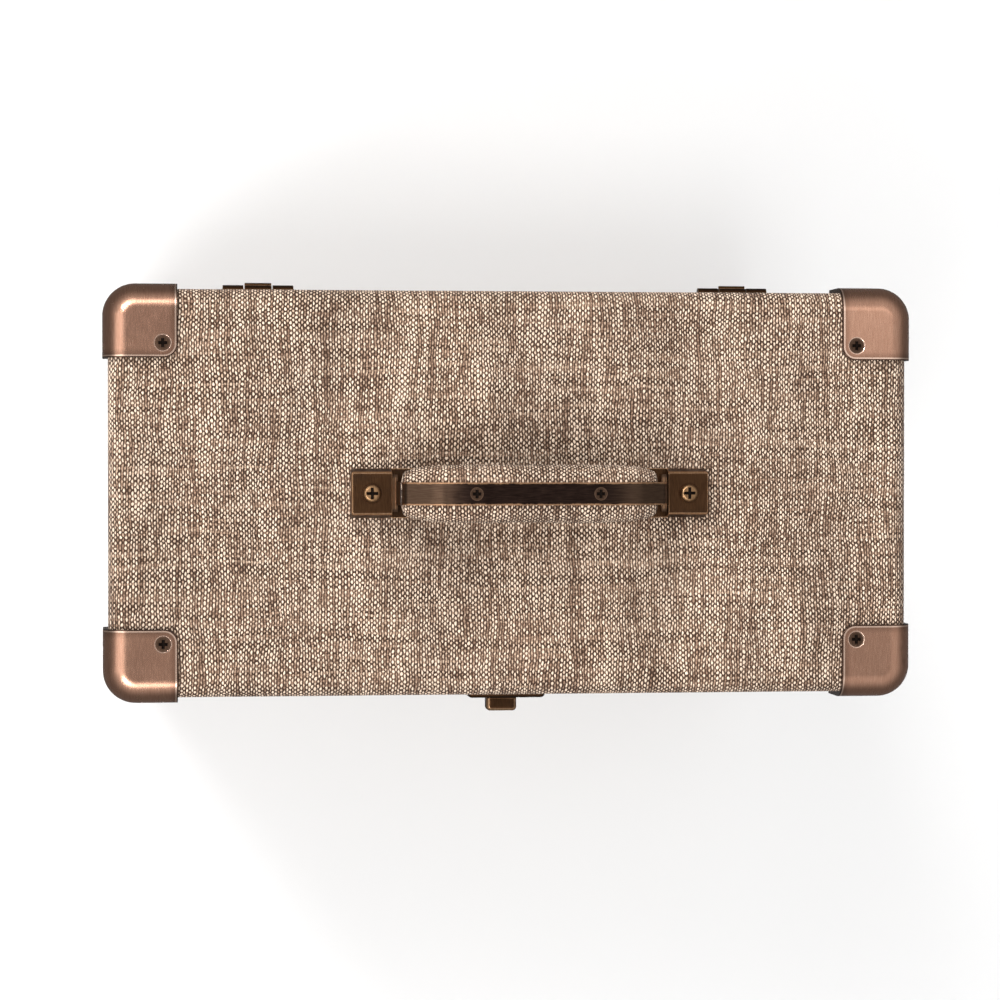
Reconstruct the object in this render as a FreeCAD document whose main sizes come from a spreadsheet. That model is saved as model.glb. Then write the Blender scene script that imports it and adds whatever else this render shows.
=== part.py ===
import FreeCAD, Part
import math
import os
import re
from types import SimpleNamespace

# Record carrying case for 12 inch sleeves: boards under woven cloth, a hinged lid, a snap latch,
# eight copper corner caps and a carrying handle. Millimetres, front at -Y, lid up, standing on z = 0.
# It is drawn round the middle of its boards, and exported round the middle of its whole depth.

doc = FreeCAD.newDocument("record_case")
sheet = doc.addObject("Spreadsheet::Sheet", "sizes")
Vec = FreeCAD.Vector

SIZES = (
    # Case
    ("case_width", 360, "outside of the cloth, left to right"),
    ("case_depth", 181, "outside of the cloth, front to back"),
    ("case_height", 350, "outside of the cloth, bottom to top"),
    ("lid_height", 80, "lid, from the seam to the top of the cloth"),
    ("board", 9, "board thickness"),
    ("cover", 1, "woven cloth with its glue"),
    ("lining", 0.8, "paper lining"),
    ("corner_radius", 11, "upright corners of the cloth"),
    ("edge_radius", 7, "rolled top and bottom edges of the cloth"),
    ("seam_gap", 0.3, "between the rims of body and lid"),
    ("collar_wall", 3, "collar strip that centres the lid"),
    ("collar_rise", 8, "collar above the seam"),
    ("collar_drop", 22, "collar below the seam"),
    ("lining_start", 10, "lid lining above the seam"),
    # Corner caps
    ("cap_leg", 33, "length of each leg of a corner cap"),
    ("cap_proud", 2.4, "cap outside above the cloth"),
    ("cap_sheet", 1.2, "pressed sheet of a cap"),
    ("cap_corner", 14.5, "upright corner of a cap"),
    ("cap_edge", 11, "rolled edges of a cap"),
    ("cap_free_corner", 6, "free corner of each leg"),
    ("cap_screw_in", 26.5, "cap screws from the outside of the cap"),
    ("cap_seat", 5, "radius of the pressed seat round a screw"),
    # Screws: radius of head, radius of shank, length, depth of head below its surface
    ("cap_screw_head", 3.15, "countersunk"),
    ("cap_screw_shank", 1.5, ""),
    ("cap_screw_length", 9, ""),
    ("cap_screw_sink", 0.4, ""),
    ("leaf_screw_head", 2.5, "countersunk, hinges and latch"),
    ("leaf_screw_shank", 1.5, ""),
    ("leaf_screw_length", 8, ""),
    ("grip_screw_head", 2.95, "countersunk, strap to grip"),
    ("grip_screw_shank", 1.6, ""),
    ("grip_screw_length", 10, ""),
    ("post_head", 4.15, "pan head machine screw of the brackets"),
    ("post_head_rise", 2.6, ""),
    ("post_shank", 2, ""),
    ("cross_slot", 0.8, "width of a cross recess"),
    ("cross_depth", 1, "depth of a cross recess"),
    ("hole_clearance", 0.1, "round screws and their heads"),
    # Hinges
    ("hinge_from_side", 67.3, "hinge centres from the sides of the cloth, before their shift"),
    ("hinge_shift", 1.9, "both hinges right of the middle"),
    ("hinge_width", 33, ""),
    ("hinge_reach", 18, "leaf from the pin to its end"),
    ("leaf", 1.2, "leaf thickness"),
    ("leaf_corner", 3, ""),
    ("knuckle", 2.9, "knuckle radius"),
    ("knuckle_stand", 0.2, "knuckle off the cloth"),
    ("knuckle_middle", 12.5, "length of the middle knuckle"),
    ("knuckle_gap", 0.6, "between knuckles"),
    ("leaf_cut_back", 2.6, "leaf edge from the pin beside the other leaf's knuckle"),
    ("pin", 1.25, "pin radius"),
    ("pin_clearance", 0.05, ""),
    ("pin_end", 0.5, "pin beyond the knuckles"),
    ("stop_nib", 0.8, "radius of the stop rib on the middle knuckle"),
    ("stop_nib_out", 3.2, "rib centre from the pin's axis"),
    ("stop_angle", 105, "lid opening at which the rib meets the lower leaf"),
    ("stop_margin", 1.5, "degrees kept free at the stop"),
    ("leaf_screw_apart", 20, ""),
    ("leaf_screw_down", 11, "leaf screws from the pin"),
    # Latch
    ("front_shift", 6.8, "latch and handle centres right of the middle"),
    ("latch_width", 37, ""),
    ("latch_tall", 34, "base plate"),
    ("latch_box_tall", 25, "raised housing"),
    ("latch_below", 1.5, "top of the latch below the seam"),
    ("latch_plate", 1.2, "base plate thickness"),
    ("latch_sheet", 1, "housing sheet"),
    ("latch_proud", 7.6, "housing off the cloth"),
    ("latch_corner", 2.3, ""),
    ("latch_edge", 2, "rounded front edges of the housing"),
    ("latch_screw_apart", 27, ""),
    ("latch_slot_deep", 4.6, "mouth of the housing off the cloth"),
    ("latch_slot_side", 1.2, "mouth beside the tongue"),
    ("tongue_width", 12, ""),
    ("tongue_plate_width", 24, ""),
    ("tongue_plate_tall", 15, ""),
    ("tongue_sheet", 1.2, ""),
    ("tongue_screw_apart", 15, ""),
    ("tongue_screw_up", 8.7, "tongue screws above the seam"),
    ("tongue_step", 1.5, "joggle of the tongue off the cloth"),
    ("tongue_reach", 16, "tongue below the seam"),
    ("tongue_window_wide", 6, ""),
    ("tongue_window_tall", 4, ""),
    ("tongue_window_down", 10.5, "window centre below the seam"),
    ("slider_wide", 15, ""),
    ("slider_tall", 11, ""),
    ("slider_sheet", 0.9, ""),
    ("slider_clearance", 0.2, "sliding fit in the latch"),
    ("latch_travel", 4, "how far the button slides"),
    ("button_left", 1.5, "button at rest, left of the latch's middle"),
    ("button_down", 14, "button centre below the seam"),
    ("button_wide", 14.5, ""),
    ("button_tall", 9, ""),
    ("button_proud", 14.4, "button face off the cloth"),
    ("button_corner", 2.2, ""),
    ("button_edge", 1.9, "rounded edges of the button's face"),
    ("neck_wide", 7, ""),
    ("neck_tall", 3.6, ""),
    ("button_gap", 0.4, "button off the housing"),
    ("catch_sheet", 0.5, "spring steel catch"),
    ("catch_wide", 3, ""),
    ("spring_sheet", 0.4, "return spring strip"),
    ("spring_tall", 5, ""),
    ("spring_bend", 1, ""),
    # Handle
    ("bracket_inner", 50, "inner end of a base plate from the handle's middle"),
    ("bracket_outer", 80, "outer end of a base plate"),
    ("bracket_mouth", 62, "inner end of a bracket box"),
    ("bracket_width", 22, ""),
    ("bracket_top_width", 18.6, ""),
    ("bracket_rise", 7.6, "top of a bracket above the cloth"),
    ("bracket_sheet", 1.2, ""),
    ("bracket_corner", 1.5, ""),
    ("bracket_edge", 1, "rounded outer end of a bracket box"),
    ("bracket_plate", 1.2, ""),
    ("bracket_plate_corner", 3, ""),
    ("bracket_notch", 11, "mouth for the strap"),
    ("post_place", 71, "bracket screws from the handle's middle"),
    ("washer", 5, "washer radius"),
    ("washer_sheet", 0.8, ""),
    ("nut", 3.5, "half of the nut's width across flats"),
    ("nut_rise", 3.2, ""),
    ("post_end", 1, "screw end beyond its nut"),
    ("strap_width", 10, ""),
    ("strap_sheet", 1.5, ""),
    ("strap_top", 34, "top of the strap above the cloth"),
    ("strap_shoulder", 31.2, "strap where its shoulders begin"),
    ("strap_shoulder_end", 23.5, "strap where it turns down"),
    ("strap_flat_half", 30, "flat middle of the arch"),
    ("strap_shoulder_half", 44, "shoulders begin"),
    ("strap_knee_half", 58, "knees, where the strap turns down"),
    ("strap_foot_half", 59.8, "feet, where the strap turns outward"),
    ("strap_tee_width", 15.6, "crosspiece that keeps the strap in its bracket"),
    ("strap_tee_length", 4, ""),
    ("strap_tee_gap", 0.3, "crosspieces off the wall of the mouth"),
    ("strap_stop_width", 16.5, "outer crosspiece, in front of the mouth"),
    ("strap_stop_length", 2.4, ""),
    ("strap_stop_rise", 3.4, ""),
    ("strap_arch_bend", 60, ""),
    ("strap_shoulder_bend", 22, ""),
    ("strap_knee_bend", 4, ""),
    ("strap_foot_bend", 2.5, ""),
    ("strap_rest", 0.1, "strap above its base plate at rest"),
    ("grip_half", 56, "half length of the grip"),
    ("grip_width", 25.4, ""),
    ("grip_under", 18.5, "underside of the grip above the cloth"),
    ("grip_cover", 1, "cloth on the grip"),
    ("grip_screw_apart", 54.5, ""),
    ("grip_sink", 0.5, "strap sunk in the grip's cloth"),
    ("overrun", 2, "cutters beyond the faces they cut"),
)

# Grip stations along one half: place, width and thickness, as shares of the grip's half length,
# its width and its thickness in the middle; and the rounding of a section, as a share of its thickness
GRIP_SHARES = (
    (0.00, 1.00, 1.00),
    (0.40, 1.00, 0.98),
    (0.70, 0.98, 0.90),
    (0.88, 0.90, 0.74),
    (1.00, 0.68, 0.46),
)
GRIP_ROUND_SHARE = 0.42

# Reach of a cross recess and rounding of a pan head, as shares of the head's radius and of its rise;
# places of the catch's start and bend, as shares of the slider's width
RECESS_SHARE = 0.62
PAN_SHARE = 0.7
CATCH_START_SHARE = 0.4
CATCH_BEND_SHARE = 0.15
PRECISION = 1e-4

for row, (alias, number, note) in enumerate(SIZES, start=1):
    sheet.set(f"A{row}", note)
    sheet.set(f"B{row}", str(number))
    sheet.setAlias(f"B{row}", alias)
doc.recompute()
size = SimpleNamespace(**{alias: float(sheet.get(alias)) for alias, number, note in SIZES})
aliases = {alias for alias, number, note in SIZES}
nodes = []


def words_of(text):
    """A formula in the sheet's words, as an expression of the document."""
    return re.sub(r"[a-z][a-z_]*", lambda word: "sizes." + word[0] if word[0] in aliases else word[0], text)


def value(text):
    return float(sheet.evalExpression(words_of(text)))


# Places that several pieces share
base = size.cap_proud
top = base + size.case_height
seam = top - size.lid_height
half_x = size.case_width / 2
half_y = size.case_depth / 2
wall = size.cover + size.board
inner_x = half_x - wall
inner_y = half_y - wall
hinge_place = half_x - size.hinge_from_side
body_rim = seam - size.seam_gap / 2
lid_rim = seam + size.seam_gap / 2

# Directions of a face: its own x and y lie along it, its own z points out of it
ON_TOP = FreeCAD.Rotation()
ON_FRONT = FreeCAD.Rotation(Vec(1, 0, 0), 90)
ON_RIGHT = FreeCAD.Rotation(Vec(0, 0, 1), 90).multiply(ON_FRONT)
ON_BACK = FreeCAD.Rotation(Vec(0, 0, 1), 180).multiply(ON_FRONT)
OUT_AND_UP = FreeCAD.Rotation(Vec(0, 0, 1), Vec(0, 1, 0), Vec(-1, 0, 0), "XYZ")


# Helpers

def at(x, y, z, turn=ON_TOP):
    return FreeCAD.Placement(Vec(x, y, z), turn)


def facing(point, out):
    return FreeCAD.Placement(point, FreeCAD.Rotation(Vec(0, 0, 1), out))


def bind(thing, **texts):
    """Ties properties of a thing to the sheet's words."""
    for name, text in texts.items():
        thing.setExpression(name, words_of(text))


def node(thing, label):
    """Marks an object of the document as a piece of the case."""
    thing.Label = label
    nodes.append(thing)
    return thing


def cut(base_piece, tool, name="cut"):
    result = doc.addObject("Part::Cut", name)
    result.Base = base_piece
    result.Tool = tool
    return result


def common(base_piece, tool, name="common"):
    result = doc.addObject("Part::Common", name)
    result.Base = base_piece
    result.Tool = tool
    return result


def fuse(pieces, name="fuse"):
    if len(pieces) == 1:
        result = doc.addObject("Part::Compound", name)
        result.Links = pieces
        return result
    result = doc.addObject("Part::MultiFuse", name)
    result.Shapes = pieces
    result.Refine = True
    return result


def block(name, length, width, height, place):
    """A block whose corner is at its place and whose sizes are words of the sheet."""
    result = doc.addObject("Part::Box", name)
    bind(result, Length=length, Width=width, Height=height)
    result.Placement = place
    return result


def rod(name, radius, length, place):
    result = doc.addObject("Part::Cylinder", name)
    bind(result, Radius=radius, Height=length)
    result.Placement = place
    return result


def rounded(corners):
    """Lines and arcs of a closed outline whose corners are (x, y, radius)."""
    points = [Vec(x, y, 0) for x, y, radius in corners]
    edges = []
    ends = []
    for index, (x, y, radius) in enumerate(corners):
        here = points[index]
        before = (points[index - 1] - here).normalize()
        after = (points[(index + 1) % len(points)] - here).normalize()
        if radius <= 0:
            ends.append((here, here, None))
            continue
        half_turn = before.getAngle(after) / 2
        reach = radius / math.tan(half_turn)
        middle = (before + after).normalize() * (radius / math.sin(half_turn) - radius)
        ends.append((here + before * reach, here + after * reach, here + middle))
    for index, (start, finish, middle) in enumerate(ends):
        if middle is not None:
            edges.append(Part.Arc(start, middle, finish))
        following = ends[(index + 1) % len(ends)][0]
        if following.distanceToPoint(finish) > 0:
            edges.append(Part.LineSegment(finish, following))
    return edges


def rectangle(x_half, y_low, y_high, radius=0):
    return [(-x_half, y_low, radius), (x_half, y_low, radius),
            (x_half, y_high, radius), (-x_half, y_high, radius)]


def band(line, sheet_thickness):
    """Outline of a bent strip of even thickness along a centre line of (x, y, radius)."""
    points = [Vec(x, y, 0) for x, y, radius in line]
    sides = {1: [], -1: []}
    for index, (x, y, radius) in enumerate(line):
        before = (points[index] - points[max(index - 1, 0)])
        after = (points[min(index + 1, len(points) - 1)] - points[index])
        before = (before if before.Length else after).normalize()
        after = (after if after.Length else before).normalize()
        across = Vec(-before.y - after.y, before.x + after.x, 0)
        across = across * (sheet_thickness / (1 + before.dot(after))) * 0.5
        turn = math.copysign(1, before.cross(after).z)
        for side in sides:
            bend = radius - side * turn * sheet_thickness / 2 if radius else 0
            point = points[index] + across * side
            sides[side].append((point.x, point.y, bend))
    return sides[-1] + sides[1][::-1]


def sketch_on(body, role, edges):
    sketch = body.newObject("Sketcher::SketchObject", body.Name + "_sketch")
    plane = next(feature for feature in body.Origin.OriginFeatures if feature.Role == role)
    sketch.AttachmentSupport = [(plane, "")]
    sketch.MapMode = "FlatFace"
    for edge in edges:
        sketch.addGeometry(edge)
    return sketch


def plate(name, outline, thickness, place, holes=()):
    """A flat piece: a rounded outline with round holes (x, y, radius), padded out of its face."""
    body = doc.addObject("PartDesign::Body", name)
    circles = [Part.Circle(Vec(x, y, 0), Vec(0, 0, 1), radius) for x, y, radius in holes]
    pad = body.newObject("PartDesign::Pad", name + "_pad")
    pad.Profile = sketch_on(body, "XY_Plane", rounded(outline) + circles)
    bind(pad, Length=thickness)
    body.Placement = place
    return body


def turned(name, profile):
    """A piece turned round its own z axis from a profile of (radius, height, rounding)."""
    body = doc.addObject("PartDesign::Body", name)
    sketch = sketch_on(body, "XZ_Plane", rounded(profile))
    turning = body.newObject("PartDesign::Revolution", name + "_turning")
    turning.Profile = sketch
    turning.ReferenceAxis = (sketch, ["V_Axis"])
    turning.Angle = 360
    return body


def chain(shape, height):
    """Names of the edges that lie at one height."""
    return [f"Edge{number}" for number, edge in enumerate(shape.Edges, start=1)
            if abs(edge.BoundBox.ZMin - height) + abs(edge.BoundBox.ZMax - height) < PRECISION]


def round_off(body, height, radius):
    """Rounds the edges of a plate that lie at one height above its sketch."""
    doc.recompute()
    pad = body.Tip
    rounding = body.newObject("PartDesign::Fillet", body.Name + "_rounding")
    rounding.Base = (pad, chain(pad.Shape, height))
    bind(rounding, Radius=radius)


def case_form(name, grow, upright, edge):
    """The whole case as one block with rolled edges, grown by a length in words of the sheet."""
    grown = value(grow)
    outline = [(x * (half_x + grown), y * (half_y + grown), value(upright))
               for x, y in ((-1, -1), (1, -1), (1, 1), (-1, 1))]
    body = plate(name, outline, f"case_height + 2 * ({grow})", at(0, 0, base - grown))
    doc.recompute()
    pad = body.Tip
    roll = body.newObject("PartDesign::Fillet", name + "_roll")
    ends = chain(pad.Shape, pad.Shape.BoundBox.ZMin) + chain(pad.Shape, pad.Shape.BoundBox.ZMax)
    roll.Base = (pad, ends)
    bind(roll, Radius=edge)
    return body


def group(name, master, places):
    """Several like solids in one object."""
    doc.recompute()
    result = doc.addObject("Part::Feature", name)
    shapes = []
    for place in places:
        shape = master.Shape.copy()
        shape.Placement = place
        shapes.append(shape)
    result.Shape = Part.makeCompound(shapes)
    return result


def copies(label, master, places):
    """One piece of the case for a set of like fasteners."""
    return node(group(label, master, places), label)


# Screws

def cross_recess(body, head, height=0):
    """A cross recess in the head of a screw, whose top is at one height."""
    reach = head * RECESS_SHARE
    slot = size.cross_slot / 2
    corners = [(slot, reach), (slot, slot), (reach, slot)]
    outline = []
    for quarter in range(4):
        for x, y in corners:
            for turn in range(quarter):
                x, y = y, -x
            outline.append((x, y, 0))
    doc.recompute()
    recess = body.newObject("PartDesign::Pocket", body.Name + "_recess")
    recess.Profile = sketch_on(body, "XY_Plane", rounded(outline))
    recess.Profile[0].AttachmentOffset = at(0, 0, height)
    bind(recess, Length="cross_depth")
    return body


def countersunk(name, head, shank, length):
    """Countersunk screw, its head's top at z = 0; and the hole that it needs, wider by a clearance."""
    profile = [(0, 0, 0), (head, 0, 0), (shank, shank - head, 0), (shank, -length + shank, 0),
               (0, -length, 0)]
    screw = cross_recess(turned(name, profile), head)
    more = size.hole_clearance
    far = size.overrun
    wide = head + more + far
    hole_profile = [(0, far, 0), (wide, far, 0), (shank + more, shank - head, 0),
                    (shank + more, -length - more, 0), (0, -length - more, 0)]
    hole = turned(name + "_hole", hole_profile)
    return screw, hole


cap_screw, cap_hole = countersunk(
    "cap_screw", size.cap_screw_head, size.cap_screw_shank, size.cap_screw_length)
leaf_screw, leaf_hole = countersunk("leaf_screw", size.leaf_screw_head, size.leaf_screw_shank,
                                    size.leaf_screw_length)
grip_screw, grip_hole = countersunk("grip_screw", size.grip_screw_head, size.grip_screw_shank,
                                    size.grip_screw_length)


def cap_screw_places(side_z):
    """The three screws of each cap at the top (1) or the bottom (-1) of the case."""
    inset = size.cap_screw_in - size.cap_proud
    out = size.cap_proud - size.cap_screw_sink
    middle = (base + top) / 2
    places = []
    for side_x in (-1, 1):
        for side_y in (-1, 1):
            signs = (side_x, side_y, side_z)
            halves = (half_x, half_y, size.case_height / 2)
            for axis in range(3):
                point = [sign * (half - inset) for sign, half in zip(signs, halves)]
                point[axis] = signs[axis] * (halves[axis] + out)
                point[2] += middle
                normal = [0, 0, 0]
                normal[axis] = signs[axis]
                places.append(facing(Vec(*point), Vec(*normal)))
    return places


# Hinge and latch screws in their faces: x along the face, z above the seam

def leaf_screw_places(side_z):
    rows = []
    for side_x in (-1, 1):
        for step in (-1, 1):
            x = side_x * hinge_place + size.hinge_shift + step * size.leaf_screw_apart / 2
            rows.append(at(x, half_y + size.leaf, seam + side_z * size.leaf_screw_down, ON_BACK))
    return rows


latch_top = -size.latch_below
latch_foot = latch_top - size.latch_tall
latch_flange = latch_top - size.latch_box_tall
latch_screw_x = size.latch_screw_apart / 2
latch_screw_z = (latch_foot + latch_flange) / 2
latch_out = size.latch_plate + size.latch_sheet
tongue_screw_x = size.tongue_screw_apart / 2
tongue_screw_z = size.tongue_screw_up
latch_screw_rows = [at(side * latch_screw_x, latch_screw_z, latch_out) for side in (-1, 1)]
tongue_screw_rows = [at(side * tongue_screw_x, tongue_screw_z, size.tongue_sheet) for side in (-1, 1)]
latch_place = at(size.front_shift, -half_y, seam, ON_FRONT)
latch_screw_places = [latch_place.multiply(row) for row in latch_screw_rows]
tongue_screw_places = [latch_place.multiply(row) for row in tongue_screw_rows]
post_places = [at(size.front_shift + side * size.post_place, 0, top) for side in (-1, 1)]

# Bracket screws: pan head on the bracket, through the lid, into a nut inside it
post_low = -wall - size.lining - size.washer_sheet - size.nut_rise - size.post_end
post = turned("post", [
    (0, post_low, 0), (size.post_shank, post_low, 0), (size.post_shank, size.bracket_rise, 0),
    (size.post_head, size.bracket_rise, 0),
    (size.post_head, size.bracket_rise + size.post_head_rise, size.post_head_rise * PAN_SHARE),
    (0, size.bracket_rise + size.post_head_rise, 0)])
cross_recess_head = cross_recess(post, size.post_head, size.bracket_rise + size.post_head_rise)
post_hole_radius = size.post_shank + size.hole_clearance
post_hole = turned("post_hole", [
    (0, post_low, 0), (post_hole_radius, post_low, 0),
    (post_hole_radius, size.bracket_rise + size.overrun, 0),
    (0, size.bracket_rise + size.overrun, 0)])

doc.recompute()
body_holes = doc.addObject("Part::Compound", "body_holes")
body_holes.Links = [
    group("body_cap_holes", cap_hole, cap_screw_places(-1)),
    group("lower_leaf_holes", leaf_hole, leaf_screw_places(-1)),
    group("latch_holes", leaf_hole, latch_screw_places)]
lid_holes = doc.addObject("Part::Compound", "lid_holes")
lid_holes.Links = [
    group("lid_cap_holes", cap_hole, cap_screw_places(1)),
    group("upper_leaf_holes", leaf_hole, leaf_screw_places(1)),
    group("tongue_holes", leaf_hole, tongue_screw_places),
    group("post_holes", post_hole, post_places)]

# Boards: mitred walls, with the bottom and the top board between them

board_form = case_form("board_form", "-cover", "corner_radius - cover", "edge_radius - cover")


def walls(prefix, low, height, holes):
    """Four walls: the rolled case block inside mitred prisms that stand at one height."""
    outlines = {}
    for label, side in (("front", -1), ("back", 1)):
        outlines[label] = [(-half_x, side * half_y, 0), (half_x, side * half_y, 0),
                           (inner_x, side * inner_y, 0), (-inner_x, side * inner_y, 0)]
    for label, side in (("left", -1), ("right", 1)):
        outlines[label] = [(side * half_x, -half_y, 0), (side * half_x, half_y, 0),
                           (side * inner_x, inner_y, 0), (side * inner_x, -inner_y, 0)]
    for label, outline in outlines.items():
        name = f"{prefix}_{label}_board"
        prism = plate(name + "_prism", outline, height, at(0, 0, low))
        node(cut(common(board_form, prism), holes), name)


walls("body", base + size.cover, "case_height - lid_height - 2 * cover - seam_gap / 2", body_holes)
walls("lid", lid_rim + size.cover, "lid_height - 2 * cover - seam_gap / 2", lid_holes)
inside = ("case_width - 2 * (cover + board)", "case_depth - 2 * (cover + board)")
bottom_board = block("bottom_board", *inside, "board", at(-inner_x, -inner_y, base + size.cover))
node(cut(bottom_board, body_holes), "body_bottom_board")
top_board = block("top_board", *inside, "board", at(-inner_x, -inner_y, top - wall))
node(cut(top_board, lid_holes), "lid_top_board")

# Cloth: one glued skin on the body and one on the lid, turned over the rims

cloth_form = case_form("cloth_form", "0", "corner_radius", "edge_radius")
whole = ("case_width + 2 * overrun", "case_depth + 2 * overrun")
whole_corner = (-half_x - size.overrun, -half_y - size.overrun)
under_lid = lid_rim - size.case_height + size.lid_height - size.overrun
above = block("above_body", *whole, "lid_height + overrun", at(*whole_corner, body_rim))
below = block("below_lid", *whole, "case_height - lid_height + overrun",
              at(*whole_corner, under_lid))
body_space = block("body_space", *inside, "case_height - lid_height", at(-inner_x, -inner_y, base + wall))
lid_space = block("lid_space", *inside, "lid_height", at(-inner_x, -inner_y, top - wall - size.lid_height))
board_above = block("board_above", *whole, "lid_height + overrun", at(*whole_corner, body_rim - size.cover))
board_below = block("board_below", *whole, "case_height - lid_height + overrun",
                    at(*whole_corner, under_lid + size.cover))
body_skin = cut(cut(cloth_form, above), cut(board_form, board_above))
lid_skin = cut(cut(cloth_form, below), cut(board_form, board_below))
node(cut(cut(body_skin, body_space), body_holes), "body_cover")
node(cut(cut(lid_skin, lid_space), lid_holes), "lid_cover")

# Lining: paper on the inner faces of the boards

lined = ("case_width - 2 * (cover + board + lining)", "case_depth - 2 * (cover + board + lining)")
lined_x = inner_x - size.lining
lined_y = inner_y - size.lining
body_lining_low = base + wall
body_lining = block("body_lining_form", *inside,
                    "case_height - lid_height - cover - board - seam_gap / 2",
                    at(-inner_x, -inner_y, body_lining_low))
body_bay = block("body_bay", *lined, "case_height - lid_height",
                 at(-lined_x, -lined_y, body_lining_low + size.lining))
node(cut(cut(body_lining, body_bay), body_holes), "body_lining")
lid_lining = block("lid_lining_form", *inside, "lid_height - cover - board - lining_start",
                   at(-inner_x, -inner_y, seam + size.lining_start))
lid_bay = block("lid_bay", *lined, "lid_height",
                at(-lined_x, -lined_y, top - wall - size.lining - size.lid_height))
node(cut(cut(lid_lining, lid_bay), lid_holes), "lid_lining")

# Collar: a strip round the mouth of the body, which the lid drops over

collar_low = seam - size.collar_drop
collar = block("collar_form", *lined, "collar_drop + collar_rise", at(-lined_x, -lined_y, collar_low))
collar_bay = block("collar_bay", "case_width - 2 * (cover + board + lining + collar_wall)",
                   "case_depth - 2 * (cover + board + lining + collar_wall)",
                   "collar_drop + collar_rise + 2 * overrun",
                   at(size.collar_wall - lined_x, size.collar_wall - lined_y, collar_low - size.overrun))
node(cut(collar, collar_bay), "body_collar")

# Corner caps: pressed sheet with turned-in rims and a seat round each screw


def cap_region(name, inset, radius):
    """The cube that bounds a cap at the back right top corner, its three free edges rounded."""
    corner = Vec(half_x, half_y, top) + Vec(1, 1, 1) * (size.cap_proud - size.cap_leg + inset)
    body = doc.addObject("PartDesign::Body", name)
    cube = body.newObject("PartDesign::AdditiveBox", name + "_cube")
    bind(cube, Length="cap_leg + overrun", Width="cap_leg + overrun", Height="cap_leg + overrun")
    doc.recompute()
    free = [f"Edge{number}" for number, edge in enumerate(cube.Shape.Edges, start=1)
            if any(vertex.Point.Length < PRECISION for vertex in edge.Vertexes)]
    rounding = body.newObject("PartDesign::Fillet", name + "_rounding")
    rounding.Base = (cube, free)
    bind(rounding, Radius=radius)
    body.Placement = at(*corner)
    return body


cap_outer = case_form("cap_outer", "cap_proud", "cap_corner", "cap_edge")
cap_inner = case_form("cap_inner", "cap_proud - cap_sheet", "cap_corner - cap_sheet", "cap_edge - cap_sheet")
cap_shell = cut(common(cap_outer, cap_region("cap_region", 0, "cap_free_corner")), cloth_form)
cap_hollow = common(cap_inner, cap_region("cap_hollow_region", size.cap_sheet, "cap_free_corner - cap_sheet"))
corner_screws = cap_screw_places(1)[-3:]
seat_depth = size.cap_proud + size.overrun
seats = group("cap_seats", rod("cap_seat_rod", "cap_seat", "2 * (cap_proud + overrun)", at(0, 0, 0)), [
    place.multiply(at(0, 0, -seat_depth)) for place in corner_screws])
cap_holes = group("cap_screw_holes", cap_hole, corner_screws)
cap = cut(cut(cap_shell, cut(cap_hollow, seats)), cap_holes)


def mirrored(piece, normal, label):
    result = doc.addObject("Part::Mirroring", label)
    result.Source = piece
    result.Normal = normal
    result.Base = Vec(0, 0, (base + top) / 2)
    return result


caps = {"back_right": cap, "back_left": mirrored(cap, Vec(1, 0, 0), "cap_back_left")}
for side in ("right", "left"):
    caps["front_" + side] = mirrored(caps["back_" + side], Vec(0, 1, 0), "cap_front_" + side)
for corner, piece in caps.items():
    node(piece, "lid_cap_" + corner)
    node(mirrored(piece, Vec(0, 0, 1), "low_cap_" + corner), "body_cap_" + corner)
copies("lid_cap_screws", cap_screw, cap_screw_places(1))
copies("body_cap_screws", cap_screw, cap_screw_places(-1))

# Hinges: two leaves, knuckles rolled round a pin, and a rib that stops the lid
# In a hinge's own frame x lies along the pin, y points up from the pin and z out of the case.

axis_out = size.knuckle_stand + size.knuckle
half_middle = size.knuckle_middle / 2
outer_start = half_middle + size.knuckle_gap
half_hinge = size.hinge_width / 2
ALONG = FreeCAD.Rotation(Vec(0, 1, 0), 90)


def leaf_plate(name, side, steps, place):
    """A leaf: steps are its edge beside the pin, as (x, distance from the pin), from left to right."""
    outline = [(x, side * distance, 0) for x, distance in steps]
    outline += [(half_hinge, side * size.hinge_reach, size.leaf_corner),
                (-half_hinge, side * size.hinge_reach, size.leaf_corner)]
    return plate(name, outline, "leaf", place)


def knuckle_rod(name, radius, x_low, length, y=0, out=axis_out):
    return rod(name, radius, length, FreeCAD.Placement(Vec(x_low, y, out), ALONG))


def placed(piece, x, label):
    """Puts a hinge piece on the back of the case at the seam."""
    piece.Placement = at(x, half_y, seam, ON_BACK)
    return node(piece, label)


back_off = size.leaf_cut_back
outer_length = "(hinge_width - knuckle_middle) / 2 - knuckle_gap"
contact = 360 - math.degrees(math.acos((axis_out - size.leaf - size.stop_nib) / size.stop_nib_out))
nib_angle = math.radians(contact - size.stop_angle - size.stop_margin)
nib_up = size.stop_nib_out * math.sin(nib_angle)
nib_out = axis_out - size.stop_nib_out * math.cos(nib_angle)

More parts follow.
